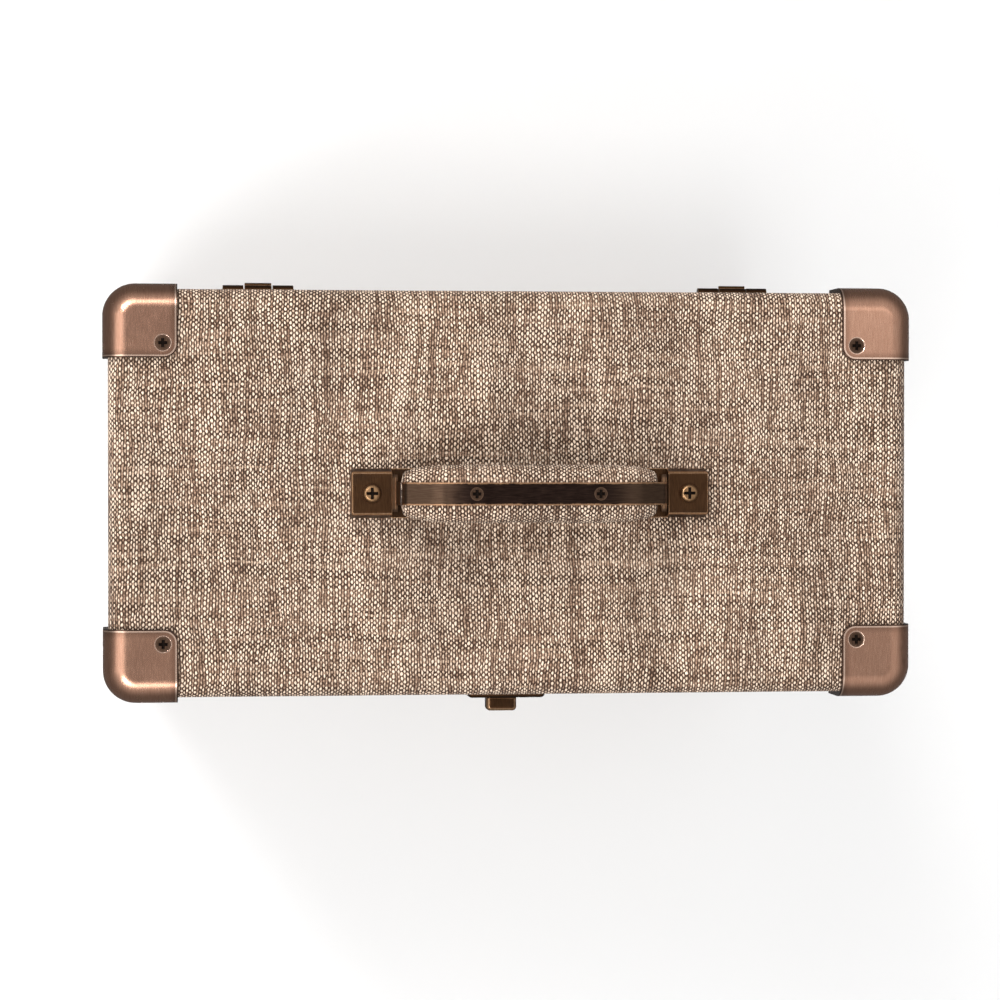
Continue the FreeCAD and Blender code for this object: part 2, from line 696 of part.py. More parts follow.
for side, x in (("left", size.hinge_shift - hinge_place), ("right", size.hinge_shift + hinge_place)):
    bore = "pin + pin_clearance"
    lower_plate = leaf_plate(f"lower_leaf_{side}", -1, [
        (-half_hinge, 0), (-outer_start, 0), (-outer_start, back_off), (outer_start, back_off),
        (outer_start, 0), (half_hinge, 0)], at(0, 0, 0))
    lower = fuse([lower_plate,
                  knuckle_rod(f"lower_knuckle_a_{side}", "knuckle", -half_hinge, outer_length),
                  knuckle_rod(f"lower_knuckle_b_{side}", "knuckle", outer_start, outer_length)])
    lower = cut(lower, knuckle_rod(f"lower_bore_{side}", bore, -half_hinge - size.overrun,
                                   "hinge_width + 2 * overrun"))
    leaf_places = [at(step * size.leaf_screw_apart / 2, -size.leaf_screw_down, size.leaf) for step in (-1, 1)]
    lower = cut(lower, group(f"lower_sunk_{side}", leaf_hole, leaf_places))
    placed(lower, x, f"hinge_lower_leaf_{side}")

    upper_plate = leaf_plate(f"upper_leaf_{side}", 1, [
        (-half_hinge, back_off), (-half_middle, back_off), (-half_middle, 0), (half_middle, 0),
        (half_middle, back_off), (half_hinge, back_off)], at(0, 0, 0))
    upper = fuse([upper_plate,
                  knuckle_rod(f"upper_knuckle_{side}", "knuckle", -half_middle, "knuckle_middle"),
                  knuckle_rod(f"upper_nib_{side}", "stop_nib", -half_middle, "knuckle_middle",
                              nib_up, nib_out)])
    upper = cut(upper, knuckle_rod(f"upper_bore_{side}", bore, -half_hinge - size.overrun,
                                   "hinge_width + 2 * overrun"))
    leaf_places = [at(step * size.leaf_screw_apart / 2, size.leaf_screw_down, size.leaf) for step in (-1, 1)]
    upper = cut(upper, group(f"upper_sunk_{side}", leaf_hole, leaf_places))
    placed(upper, x, f"hinge_upper_leaf_{side}")

    pin_rod = rod(f"pin_{side}", "pin", "hinge_width + 2 * pin_end", FreeCAD.Placement(
        Vec(x - half_hinge - size.pin_end, half_y + axis_out, seam), ALONG))
    node(pin_rod, f"hinge_pin_{side}")
copies("hinge_lower_screws", leaf_screw, leaf_screw_places(-1))
copies("hinge_upper_screws", leaf_screw, leaf_screw_places(1))

# Latch: base plate and housing on the body, tongue on the lid, sliding button with a spring catch
# In the latch's frame x points right, y up from the seam and z out of the front.

half_latch = size.latch_width / 2


def on_front(piece, label):
    piece.Placement = latch_place
    return node(piece, label)


base_plate = plate("latch_plate_form", rectangle(half_latch, latch_foot, latch_top, size.latch_corner),
                   "latch_plate", at(0, 0, 0))
on_front(cut(base_plate, group("latch_plate_holes", leaf_hole, latch_screw_rows)), "latch_base_plate")

box_outline = rectangle(half_latch, latch_flange, latch_top, size.latch_corner)
box_outer = plate("latch_box", box_outline, "latch_proud - latch_plate", at(0, 0, size.latch_plate))
round_off(box_outer, size.latch_proud - size.latch_plate, "latch_edge")
box_inner = plate("latch_box_space", rectangle(
    half_latch - size.latch_sheet, latch_flange + size.latch_sheet, latch_top - size.latch_sheet,
    size.latch_corner - size.latch_sheet), "latch_proud - latch_plate - latch_sheet + overrun",
    at(0, 0, size.latch_plate - size.overrun))
flange = plate("latch_flange", rectangle(half_latch, latch_foot, latch_flange + size.latch_corner * 2,
               size.latch_corner), "latch_sheet", at(0, 0, size.latch_plate))
mouth_half = size.tongue_width / 2 + size.latch_slot_side
mouth = block("latch_mouth", "tongue_width + 2 * latch_slot_side", "latch_sheet + 2 * overrun",
              "latch_slot_deep + overrun",
              at(-mouth_half, latch_top - size.latch_sheet - size.overrun, -size.overrun))
slot_low = -size.button_left - size.neck_wide / 2 - size.slider_clearance
slot = block("latch_slot", "neck_wide + latch_travel + 2 * slider_clearance",
             "neck_tall + 2 * slider_clearance", "latch_sheet + 2 * overrun",
             at(slot_low, -size.button_down - size.neck_tall / 2 - size.slider_clearance,
                size.latch_proud - size.latch_sheet - size.overrun))
housing = fuse([cut(box_outer, box_inner), cut(flange, box_inner)])
housing = cut(cut(housing, mouth), slot)
on_front(cut(housing, group("latch_flange_holes", leaf_hole, latch_screw_rows)), "latch_housing")
copies("latch_screws", leaf_screw, latch_screw_places)

# Tongue: bent strip, screwed to the lid and joggled outward below it
tongue_out = size.tongue_sheet / 2
tongue_line = [(tongue_out, size.tongue_plate_tall, 0),
               (tongue_out, size.tongue_sheet * 2, size.tongue_sheet),
               (tongue_out + size.tongue_step, size.tongue_sheet, size.tongue_sheet),
               (tongue_out + size.tongue_step, -size.tongue_reach, 0)]
tongue_strip = plate("tongue_strip", band(tongue_line, size.tongue_sheet), "tongue_plate_width",
                     at(size.tongue_plate_width / 2, 0, 0, OUT_AND_UP))
neck_half = size.tongue_width / 2
plate_half = size.tongue_plate_width / 2
tongue_front = plate("tongue_front", [
    (-neck_half, -size.tongue_reach, size.latch_corner), (neck_half, -size.tongue_reach, size.latch_corner),
    (neck_half, size.tongue_sheet, 0), (plate_half, size.tongue_sheet, size.latch_corner),
    (plate_half, size.tongue_plate_tall, size.latch_corner),
    (-plate_half, size.tongue_plate_tall, size.latch_corner),
    (-plate_half, size.tongue_sheet, size.latch_corner),
    (-neck_half, size.tongue_sheet, 0)], "latch_proud", at(0, 0, -size.overrun / 2))
window_low = -size.tongue_window_down - size.tongue_window_tall / 2
window = block("tongue_window", "tongue_window_wide", "tongue_window_tall", "latch_proud",
               at(-size.tongue_window_wide / 2, window_low, 0))
tongue = cut(common(tongue_strip, tongue_front), window)
on_front(cut(tongue, group("tongue_sunk", leaf_hole, tongue_screw_rows)), "latch_tongue")
copies("latch_tongue_screws", leaf_screw, tongue_screw_places)

# Slider: inner plate, button with its neck, and the spring catch that enters the tongue's window
slider_out = size.latch_proud - size.latch_sheet - size.slider_clearance - size.slider_sheet
slider_x = -size.button_left
slider_form = plate("slider_form", [
    (slider_x - size.slider_wide / 2, -size.button_down - size.slider_tall / 2, size.latch_sheet),
    (slider_x + size.slider_wide / 2, -size.button_down - size.slider_tall / 2, size.latch_sheet),
    (slider_x + size.slider_wide / 2, -size.button_down + size.slider_tall / 2, size.latch_sheet),
    (slider_x - size.slider_wide / 2, -size.button_down + size.slider_tall / 2, size.latch_sheet)],
    "slider_sheet", at(0, 0, slider_out))
neck_corner = at(slider_x - size.neck_wide / 2, -size.button_down - size.neck_tall / 2, slider_out)
neck = block("button_neck", "neck_wide", "neck_tall",
             "button_proud - latch_proud + latch_sheet + slider_clearance", neck_corner)
on_front(cut(slider_form, neck), "latch_slider")
button_form = plate("button_form", [
    (slider_x + x * size.button_wide / 2, -size.button_down + y * size.button_tall / 2, size.button_corner)
    for x, y in ((-1, -1), (1, -1), (1, 1), (-1, 1))],
    "button_proud - latch_proud - button_gap", at(0, 0, size.latch_proud + size.button_gap))
round_off(button_form, value("button_proud - latch_proud - button_gap"), "button_edge")
on_front(fuse([button_form, neck]), "latch_button")

catch_out = slider_out - size.catch_sheet / 2
catch_line = [(slider_x + size.slider_wide * CATCH_START_SHARE, catch_out, 0),
              (slider_x + size.slider_wide * CATCH_BEND_SHARE, catch_out, size.catch_sheet),
              (slider_x, tongue_out + size.tongue_step - size.tongue_sheet / 2, 0)]
catch_strip = plate("catch_strip", band(catch_line, size.catch_sheet), "catch_wide",
                    at(0, size.catch_wide / 2 - size.tongue_window_down, 0, ON_FRONT))
on_front(fuse([catch_strip]), "latch_catch")

# Return spring: a bent strip between the slider and the side of the housing
spring_out = slider_out + size.slider_sheet / 2
spring_start = slider_x + size.slider_wide / 2 + size.slider_clearance
spring_finish = half_latch - size.latch_sheet - size.slider_clearance
spring_line = [(spring_start, spring_out, 0),
               ((spring_start + spring_finish) / 2, size.latch_plate * 2, size.spring_bend),
               (spring_finish, spring_out, 0)]
spring_strip = plate("spring_strip", band(spring_line, size.spring_sheet), "spring_tall",
                     at(0, size.spring_tall / 2 - size.button_down, 0, ON_FRONT))
on_front(fuse([spring_strip]), "latch_return_spring")

# Handle: base plates, bracket boxes, a spring steel strap and its grip
# In the handle's frame x points right, y back and z up from the lid's cloth.

handle_place = at(size.front_shift, 0, top)


def on_lid(piece, label):
    piece.Placement = handle_place
    return node(piece, label)


half_bracket = size.bracket_width / 2
half_bracket_top = size.bracket_top_width / 2
post_hole_row = [at(side * size.post_place, 0, 0) for side in (-1, 1)]
post_cutter = group("bracket_post_holes", post_hole, post_hole_row)
for side, label in ((-1, "left"), (1, "right")):
    ends = sorted((side * size.bracket_inner, side * size.bracket_outer))
    corner = size.bracket_plate_corner
    outline = [(ends[0], -half_bracket, corner), (ends[1], -half_bracket, corner),
               (ends[1], half_bracket, corner), (ends[0], half_bracket, corner)]
    foot = plate(f"bracket_plate_{label}", outline, "bracket_plate", at(0, 0, 0))
    on_lid(cut(foot, post_cutter), f"handle_base_plate_{label}")

    start = min(side * size.bracket_mouth, side * size.bracket_outer)
    outer = plate(f"bracket_outside_{label}", [
        (-half_bracket, size.bracket_plate, 0), (half_bracket, size.bracket_plate, 0),
        (half_bracket_top, size.bracket_rise, size.bracket_corner),
        (-half_bracket_top, size.bracket_rise, size.bracket_corner)],
        "bracket_outer - bracket_mouth", at(start, 0, 0, ON_RIGHT))
    round_off(outer, max(side, 0) * (size.bracket_outer - size.bracket_mouth), "bracket_edge")
    space_low = half_bracket - size.bracket_sheet
    space_high = half_bracket_top - size.bracket_sheet
    space = plate(f"bracket_space_{label}", [
        (-space_low, 0, 0), (space_low, 0, 0), (space_high, size.bracket_rise - size.bracket_sheet, 0),
        (-space_high, size.bracket_rise - size.bracket_sheet, 0)],
        "bracket_outer - bracket_mouth - 2 * bracket_sheet", at(start + size.bracket_sheet, 0, 0, ON_RIGHT))
    notch_start = side * size.bracket_mouth - size.bracket_sheet - size.overrun
    notch = block(f"bracket_notch_{label}", "2 * (bracket_sheet + overrun)", "bracket_notch",
                  "bracket_rise - bracket_sheet", at(notch_start, -size.bracket_notch / 2, 0))
    on_lid(cut(cut(cut(outer, space), notch), post_cutter), f"handle_bracket_{label}")

doc.recompute()
copies("handle_bracket_screws", cross_recess_head, post_places)
inner_face = top - wall - size.lining
washer_form = turned("washer_form", [
    (post_hole_radius, 0, 0), (size.washer, 0, 0), (size.washer, size.washer_sheet, 0),
    (post_hole_radius, size.washer_sheet, 0)])
copies("handle_washers", washer_form, [
    at(place.Base.x, 0, inner_face - size.washer_sheet) for place in post_places])
nut_across = size.nut / math.cos(math.pi / 6)
nut_outline = [(nut_across * math.cos(turn * math.pi / 3), nut_across * math.sin(turn * math.pi / 3), 0)
               for turn in range(6)]
nut_form = plate("nut_form", nut_outline, "nut_rise", at(0, 0, 0), [(0, 0, post_hole_radius)])
copies("handle_nuts", nut_form, [
    at(place.Base.x, 0, inner_face - size.washer_sheet - size.nut_rise) for place in post_places])

# Strap: a flat band, arched over the grip, with crosspieces on both sides of each bracket's mouth
half_sheet = size.strap_sheet / 2
foot_out = size.bracket_plate + size.strap_rest + half_sheet
tee_start = size.bracket_mouth + size.bracket_sheet + size.strap_tee_gap
strap_half = [
    (size.strap_flat_half, size.strap_top - half_sheet, size.strap_arch_bend),
    (size.strap_shoulder_half, size.strap_shoulder - half_sheet, size.strap_shoulder_bend),
    (size.strap_knee_half, size.strap_shoulder_end - half_sheet, size.strap_knee_bend),
    (size.strap_foot_half, foot_out, size.strap_foot_bend),
    (tee_start + size.strap_tee_length, foot_out, 0)]
strap_line = [(-x, z, bend) for x, z, bend in reversed(strap_half)] + strap_half
half_strap = size.strap_width / 2
strap_band = plate("strap_band", band(strap_line, size.strap_sheet), "strap_width",
                   at(0, half_strap, 0, ON_FRONT))
tees = [block(f"strap_tee_{index}", "strap_tee_length", "strap_tee_width", "strap_sheet",
              at(x, -size.strap_tee_width / 2, foot_out - half_sheet))
        for index, x in enumerate((-tee_start - size.strap_tee_length, tee_start))]
grip_rows = [at(side * size.grip_screw_apart / 2, 0, size.strap_top - size.hole_clearance)
             for side in (-1, 1)]
grip_holes = group("grip_holes", grip_hole, grip_rows)
stop_start = size.bracket_mouth - size.strap_tee_gap - size.strap_stop_length
stops = [block(f"strap_stop_{index}", "strap_stop_length", "strap_stop_width", "strap_stop_rise",
               at(x, -size.strap_stop_width / 2, foot_out - half_sheet))
         for index, x in enumerate((-stop_start - size.strap_stop_length, stop_start))]
on_lid(cut(fuse([strap_band] + tees + stops), grip_holes), "handle_strap")

# Grip: a core wrapped in cloth, thick in the middle and tapering to both ends


def strap_height(x):
    """Height of the strap's centre line at one place along it."""
    line = [(0, size.strap_top - half_sheet)] + [(place, height) for place, height, bend in strap_half]
    for (x_near, z_near), (x_far, z_far) in zip(line, line[1:]):
        if x <= x_far:
            return z_near + (z_far - z_near) * (x - x_near) / (x_far - x_near)
    return line[-1][1]


def grip_form(name, inset):
    """The grip's solid, drawn in by an inset."""
    middle = size.strap_top - size.strap_sheet + size.grip_sink - size.grip_under
    stations = [(-place, wide, thick) for place, wide, thick in GRIP_SHARES[:0:-1]] + list(GRIP_SHARES)
    wires = []
    for place, wide, thick in stations:
        x = place * (size.grip_half - inset)
        high = strap_height(abs(x)) - half_sheet + size.grip_sink
        low = high - thick * middle + inset
        high = high - inset
        outline = rectangle(wide * size.grip_width / 2 - inset, low, high, (high - low) * GRIP_ROUND_SHARE)
        wire = Part.Wire(Part.__sortEdges__([edge.toShape() for edge in rounded(outline)]))
        wire.Placement = at(x, 0, 0, ON_RIGHT)
        wires.append(wire)
    result = doc.addObject("Part::Feature", name)
    result.Shape = Part.makeLoft(wires, True, False)
    return result


groove_side = half_strap + size.hole_clearance
groove = plate("strap_groove", band(strap_line, size.strap_sheet + 2 * size.hole_clearance),
               "strap_width + 2 * hole_clearance", at(0, groove_side, 0, ON_FRONT))
cloth_grip = grip_form("grip_cloth_form", 0)
core_grip = grip_form("grip_core_form", size.grip_cover)
on_lid(cut(cut(cut(cloth_grip, core_grip), groove), grip_holes), "grip_cover")
on_lid(cut(cut(core_grip, groove), grip_holes), "grip_core")
copies("grip_screws", grip_screw, [handle_place.multiply(place) for place in grip_rows])

# Export: every piece is checked before any file is written

doc.recompute()
failed = [thing.Label for thing in doc.Objects if "Invalid" in thing.State or "Error" in thing.State]
assert not failed, failed
broken = [piece.Label for piece in nodes if piece.Shape.isNull() or not piece.Shape.isValid()
          or not piece.Shape.Solids]
assert not broken, broken
boxes = [piece.Shape.BoundBox for piece in nodes]
back = -(min(box.YMin for box in boxes) + max(box.YMax for box in boxes)) / 2
print(f"moved back by {back:.4f} mm, to stand in the middle of its whole depth")
os.makedirs("parts", exist_ok=True)
for piece in nodes:
    shape = piece.Shape.copy()
    shape.translate(Vec(0, back, 0))
    shape.exportStep(os.path.join("parts", piece.Label + ".step"))
    box = shape.BoundBox
    print(f"{piece.Label}: {len(shape.Solids)} solids, {shape.Volume:.1f} mm3, "
          f"{box.XLength:.1f} x {box.YLength:.1f} x {box.ZLength:.1f}")
print(len(nodes), "pieces")
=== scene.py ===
import math

import bmesh
import bpy
from mathutils import Matrix, Vector, noise


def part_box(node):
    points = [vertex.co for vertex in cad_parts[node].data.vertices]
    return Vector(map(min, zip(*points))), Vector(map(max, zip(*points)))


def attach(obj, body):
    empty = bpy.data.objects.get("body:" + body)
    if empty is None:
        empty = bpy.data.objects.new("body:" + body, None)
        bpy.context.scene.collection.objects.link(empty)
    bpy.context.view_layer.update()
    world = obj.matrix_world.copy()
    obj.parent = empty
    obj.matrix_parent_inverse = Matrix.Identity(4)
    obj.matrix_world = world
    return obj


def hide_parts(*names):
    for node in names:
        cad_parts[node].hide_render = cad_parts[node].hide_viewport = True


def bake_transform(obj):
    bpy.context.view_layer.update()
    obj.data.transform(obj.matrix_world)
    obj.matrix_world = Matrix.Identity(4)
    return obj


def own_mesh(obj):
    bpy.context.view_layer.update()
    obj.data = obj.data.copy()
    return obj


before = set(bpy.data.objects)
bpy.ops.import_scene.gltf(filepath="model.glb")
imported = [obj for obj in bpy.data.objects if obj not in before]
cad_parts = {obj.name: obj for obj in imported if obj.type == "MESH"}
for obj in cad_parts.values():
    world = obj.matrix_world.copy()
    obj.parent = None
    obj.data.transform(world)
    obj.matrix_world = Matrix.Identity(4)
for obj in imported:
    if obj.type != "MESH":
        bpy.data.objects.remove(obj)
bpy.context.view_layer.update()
MM = 0.001

# Camera, floor and light. The case stands on a white table and is seen from high above its lid, a
# little from the left. Three big lamps light cloth and table and give them soft shadows; soft boxes,
# strips and two bulbs give the metal its highlights. The room is dark low down and right above.
lid_low, lid_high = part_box("lid_cover")
lid_top = lid_high[2]
lid_middle = (lid_low[1] + lid_high[1]) / 2
CAMERA_LEFT = 168 * MM
CAMERA_BACK = 16.1 * MM
CAMERA_ABOVE = 1339 * MM
AIM = (-6.3 * MM, -3.1 * MM)
LENS = 108.75
CAMERA_REACH = 40
TABLE_SIZE = 14.0
LAMP_AIM = Vector((0, 0, 0.3))
SKY_STRENGTHS = ((0, 0.18), (0.2, 0.24), (0.45, 0.44), (0.7, 0.70), (0.9, 0.70), (0.965, 0.38), (1, 0.24))

camera = bpy.data.objects.new("camera", bpy.data.cameras.new("camera"))
bpy.context.collection.objects.link(camera)
camera.location = (-CAMERA_LEFT, lid_middle + CAMERA_BACK, lid_top + CAMERA_ABOVE)
sight = Vector((AIM[0], lid_middle + AIM[1], lid_top)) - camera.location
back = -sight.normalized()
right = Vector((0, 1, 0)).cross(back).normalized()
turned = Matrix((right, back.cross(right), back)).transposed().to_4x4()
camera.matrix_world = Matrix.Translation(camera.location) @ turned
camera.data.lens = LENS
camera.data.clip_end = CAMERA_REACH
bpy.context.scene.camera = camera
bpy.context.scene.view_settings.view_transform = "Standard"


def lamp(name, place, size, power, glossy=True, diffuse=True):
    light = bpy.data.lights.new(name, "AREA")
    light.shape = "RECTANGLE"
    light.size, light.size_y = size
    light.energy = power
    holder = bpy.data.objects.new(name, light)
    bpy.context.collection.objects.link(holder)
    holder.location = place
    holder.rotation_euler = (LAMP_AIM - Vector(place)).to_track_quat("-Z", "Y").to_euler()
    holder.visible_glossy = glossy
    holder.visible_diffuse = diffuse


lamp("overhead_softbox", (0.0, -1.1, 5.6), (1.0, 1.0), 75, glossy=False)
lamp("back_key", (-0.95, 1.80, 1.66), (1.2, 1.2), 46, glossy=False)
lamp("front_key", (-1.1, -1.35, 1.95), (1.2, 1.2), 30, glossy=False)
lamp("back_softbox", (-0.5, 1.15, 2.25), (0.9, 0.6), 8)
lamp("front_softbox", (-0.5, -1.15, 2.25), (0.9, 0.6), 8)
lamp("back_bulb", (-0.92, 0.86, 2.25), (0.26, 0.26), 13, diffuse=False)
lamp("front_bulb", (-0.92, -0.86, 2.25), (0.26, 0.26), 13, diffuse=False)
lamp("left_strip", (-1.5, 0.0, 2.0), (0.8, 1.4), 3.5)
lamp("right_strip", (0.55, 0.42, 1.95), (0.7, 0.5), 1.2)

world = bpy.data.worlds.new("studio")
bpy.context.scene.world = world
world.use_nodes = True
sky = world.node_tree
direction = sky.nodes.new("ShaderNodeTexCoord")
height_of = sky.nodes.new("ShaderNodeSeparateXYZ")
glow = sky.nodes.new("ShaderNodeValToRGB")
sky.links.new(direction.outputs["Generated"], height_of.inputs[0])
sky.links.new(height_of.outputs[2], glow.inputs[0])
stops = glow.color_ramp.elements
for position, strength in SKY_STRENGTHS:
    stop = stops[0] if position == 0 else stops[-1] if position == 1 else stops.new(position)
    stop.color = (strength, strength, strength, 1)
sky.links.new(glow.outputs[0], sky.nodes["Background"].inputs["Strength"])
sky.nodes["Background"].inputs["Color"].default_value = (1, 1, 1, 1)


class Finish:
    """A material and short names for the nodes it is built from."""

    def __init__(self, name, **sockets):
        self.material = bpy.data.materials.new(name)
        self.material.use_nodes = True
        self.tree = self.material.node_tree
        self.shader = self.tree.nodes["Principled BSDF"]
        for socket, number in sockets.items():
            self.feed(self.shader.inputs[socket.replace("_", " ")], number)

    def feed(self, socket, source):
        if isinstance(source, bpy.types.NodeSocket):
            self.tree.links.new(source, socket)
        else:
            socket.default_value = (*source, 1) if socket.type == "RGBA" and len(source) == 3 else source

    def add(self, kind, inputs=(), output=0, **settings):
        node = self.tree.nodes.new("ShaderNode" + kind)
        for name, setting in settings.items():
            setattr(node, name, setting)
        for socket, source in dict(inputs).items():
            self.feed(node.inputs[socket], source)
        return node.outputs[output]

    def math(self, operation, *numbers):
        return self.add("Math", enumerate(numbers), operation=operation)

    def place(self):
        return self.add("TexCoord", output="Object")

    def hypot(self, first, second):
        squares = [self.math("MULTIPLY", number, number) for number in (first, second)]
        return self.math("SQRT", self.math("ADD", *squares))

    def noise(self, vector, scale, detail=3.0, rough=0.55):
        inputs = {"Vector": vector, "Scale": scale, "Detail": detail, "Roughness": rough}
        return self.add("TexNoise", inputs)

    def stretch(self, vector, scale, turn=(0, 0, 0)):
        return self.add("Mapping", {"Vector": vector, "Scale": scale, "Rotation": turn})

    def between(self, number, low, high, to_low=0.0, to_high=1.0):
        numbers = enumerate((number, low, high, to_low, to_high))
        return self.add("MapRange", numbers, interpolation_type="SMOOTHSTEP")

    def ramp(self, number, *stops):
        node = self.tree.nodes.new("ShaderNodeValToRGB")
        self.feed(node.inputs[0], number)
        while len(node.color_ramp.elements) < len(stops):
            node.color_ramp.elements.new(0.5)
        for element, (position, colour) in zip(node.color_ramp.elements, stops):
            element.position = position
            element.color = (*colour, 1)
        return node.outputs[0]

    def mix(self, share, first, second, blend="MIX"):
        node = self.tree.nodes.new("ShaderNodeMix")
        node.data_type = "RGBA"
        node.blend_type = blend
        for socket, source in zip((node.inputs[0], node.inputs[6], node.inputs[7]), (share, first, second)):
            self.feed(socket, source)
        return node.outputs[2]

    def colour(self, source):
        self.feed(self.shader.inputs["Base Color"], source)

    def rough(self, source):
        self.feed(self.shader.inputs["Roughness"], source)

    def bump(self, height, distance, strength=1.0):
        normal = self.add("Bump", {"Height": height, "Distance": distance, "Strength": strength})
        self.feed(self.shader.inputs["Normal"], normal)


table_finish = Finish("white_table", Roughness=0.7, Emission_Color=(1, 1, 1), Emission_Strength=0.09)
table_finish.colour(table_finish.ramp(table_finish.noise(table_finish.place(), 3.0),
                                      (0.3, (0.68, 0.68, 0.68)), (0.7, (0.70, 0.70, 0.70))))
bpy.ops.mesh.primitive_plane_add(size=TABLE_SIZE)
table = bpy.context.object
table.name = "table"
table.data.materials.append(table_finish.material)
table.visible_glossy = False

# Cloth. One skin on the body and one on the lid, of a coarse warp-faced weave in cream, oat and brown
# yarn, glued to the boards, rolled over the edges and turned in over the rims. The warp runs from
# front to back, with heavy pale slub yarns in it.
WARP_PITCH = 1.21 * MM
WEFT_PITCH = 1.16 * MM
CREAM = (0.665, 0.515, 0.395)
OAT = (0.45, 0.319, 0.228)
TAUPE = (0.245, 0.153, 0.104)
UMBER = (0.060, 0.033, 0.020)
GAP_SHADE = (0.024, 0.011, 0.006)
WAVERS = ((420.0, 1.1 * MM), (130.0, 1.2 * MM), (22.0, 5.0 * MM))
WARP_SLUB = 30.0
WEFT_SLUB = 40.0
SEED_STEP = 7.31
WEAVE_HEIGHT = 0.40 * MM
CLOTH_THICK = 0.9 * MM
TURN_IN = 9.8 * MM
CLOTH_STEP = 5 * MM
CORNER = 11 * MM
EDGE = 7 * MM
EDGE_STEPS = 8
RIM = 1.1 * MM
SWELLS = ((14.0, 0.10 * MM), (60.0, 0.05 * MM))


def weave(name, thread_map):
    """Long floats of warp, half a step apart in neighbouring columns, over a darker weft, with painted shade
    in the gaps between columns and painted shading that darkens each float towards its ends and sides.
    """
    cloth = Finish(name, Roughness=0.86, Sheen_Weight=0.06, Sheen_Roughness=0.5, Specular_IOR_Level=0.2)
    place = cloth.add("UVMap", uv_map=thread_map)
    half = (0.5, 0.5, 0.5)
    for scale, reach in WAVERS:
        waver = cloth.add("TexNoise", {"Vector": place, "Scale": scale, "Detail": 2.0}, output="Color")
        waver = cloth.add("VectorMath", {0: waver, 1: half}, operation="SUBTRACT")
        shift = {0: waver, 1: (reach, reach, reach), 2: place}
        place = cloth.add("VectorMath", shift, operation="MULTIPLY_ADD")
    split = cloth.tree.nodes.new("ShaderNodeSeparateXYZ")
    cloth.feed(split.inputs[0], place)
    across = cloth.math("DIVIDE", split.outputs[0], WARP_PITCH)
    along = cloth.math("DIVIDE", split.outputs[1], WEFT_PITCH)
    column = cloth.math("FLOOR", across)
    row = cloth.math("FLOOR", along)
    beat = cloth.math("MULTIPLY_ADD", cloth.math("ADD", along, column), 0.5, 0.25)
    pick = cloth.math("FLOOR", beat)
    to_middle = cloth.math("SUBTRACT", cloth.math("FRACT", across), 0.5)
    to_end = cloth.math("MULTIPLY", cloth.math("SUBTRACT", cloth.math("FRACT", beat), 0.5), 2.0)

    def yarn(index, run, length, seed):
        where = cloth.add("CombineXYZ", {0: cloth.math("MULTIPLY", index, SEED_STEP),
                                         1: cloth.math("DIVIDE", run, length), 2: seed})
        return cloth.add("TexNoise", {"Vector": where, "Scale": 1.0, "Detail": 2.0, "Roughness": 0.6})

    warp = yarn(column, along, WARP_SLUB, 3.7)
    weft = yarn(row, across, WEFT_SLUB, 11.2)
    speck = cloth.add("TexWhiteNoise", {"Vector": cloth.add("CombineXYZ", {0: column, 1: pick, 2: 0.5})})
    plump = cloth.between(warp, 0.50, 0.68, 0.41, 0.56)
    flat = cloth.math("DIVIDE", to_middle, plump)
    reach = cloth.math("DIVIDE", to_end, cloth.between(speck, 0.0, 1.0, 0.60, 0.90))
    oval = cloth.math("ADD", cloth.math("MULTIPLY", flat, flat), cloth.math("MULTIPLY", reach, reach))
    float_share = cloth.between(oval, 0.50, 1.02, 1.0, 0.0)
    warp = cloth.math("MULTIPLY_ADD", cloth.math("SUBTRACT", speck, 0.5), 0.26, warp)
    warp_colour = cloth.ramp(warp, (0.30, TAUPE), (0.42, OAT), (0.56, CREAM))
    weft_colour = cloth.ramp(weft, (0.42, UMBER), (0.64, TAUPE), (0.78, OAT))
    # Painted shade: the weft darkens to near black in the gaps between warp columns.
    under = cloth.mix(cloth.between(cloth.math("ABSOLUTE", to_middle), 0.22, 0.46), weft_colour, GAP_SHADE)
    # Painted shading: each warp float is lighter at its crown and darker towards its ends and sides.
    shaded_float = cloth.mix(1.0, warp_colour, cloth.between(oval, 0.0, 1.0, 1.15, 0.62), "MULTIPLY")
    colour = cloth.mix(float_share, under, shaded_float)
    fibre = cloth.noise(cloth.stretch(place, (2600, 900, 1)), 1.0, 4.0, 0.7)
    band = cloth.noise(cloth.stretch(place, (34, 9, 1)), 1.0, 2.0, 0.5)
    colour = cloth.mix(1.0, colour, cloth.between(fibre, 0.3, 0.72, 0.74, 1.34), "MULTIPLY")
    colour = cloth.mix(1.0, colour, cloth.between(band, 0.3, 0.7, 0.88, 1.14), "MULTIPLY")
    cloth.colour(colour)
    crown = cloth.between(oval, 0.0, 1.4, 1.0, 0.0)
    cloth.bump(cloth.math("MULTIPLY_ADD", fibre, 0.35, crown), WEAVE_HEIGHT, 0.9)
    return cloth.material


cloth_material = weave("warp_faced_cloth", "threads")


def outline(half_x, half_y, corner, step):
    """Points of a rounded rectangle, once round from the right side. Each comes with its outward
    direction, its quarter and its share of the corner's bend, or 2 where the outline is straight."""
    points = []
    bends = max(3, math.ceil(corner * math.pi / 4 / step)) * 2
    quarters = (((1, 1), (-1, 0)), ((-1, 1), (0, -1)), ((-1, -1), (1, 0)), ((1, -1), (0, 1)))
    for quarter, ((sign_x, sign_y), run) in enumerate(quarters):
        centre = Vector((sign_x * (half_x - corner), sign_y * (half_y - corner)))
        for bend in range(bends + 1):
            angle = (quarter + bend / bends) * math.pi / 2
            out = Vector((math.cos(angle), math.sin(angle)))
            points.append((centre + out * corner, out, quarter, bend / bends))
        straight = 2 * ((half_x if quarter % 2 == 0 else half_y) - corner)
        count = round(straight / step)
        start, out = points[-1][:2]
        for part in range(1, count):
            points.append((start + Vector(run) * straight * part / count, out, quarter, 2.0))
    return points


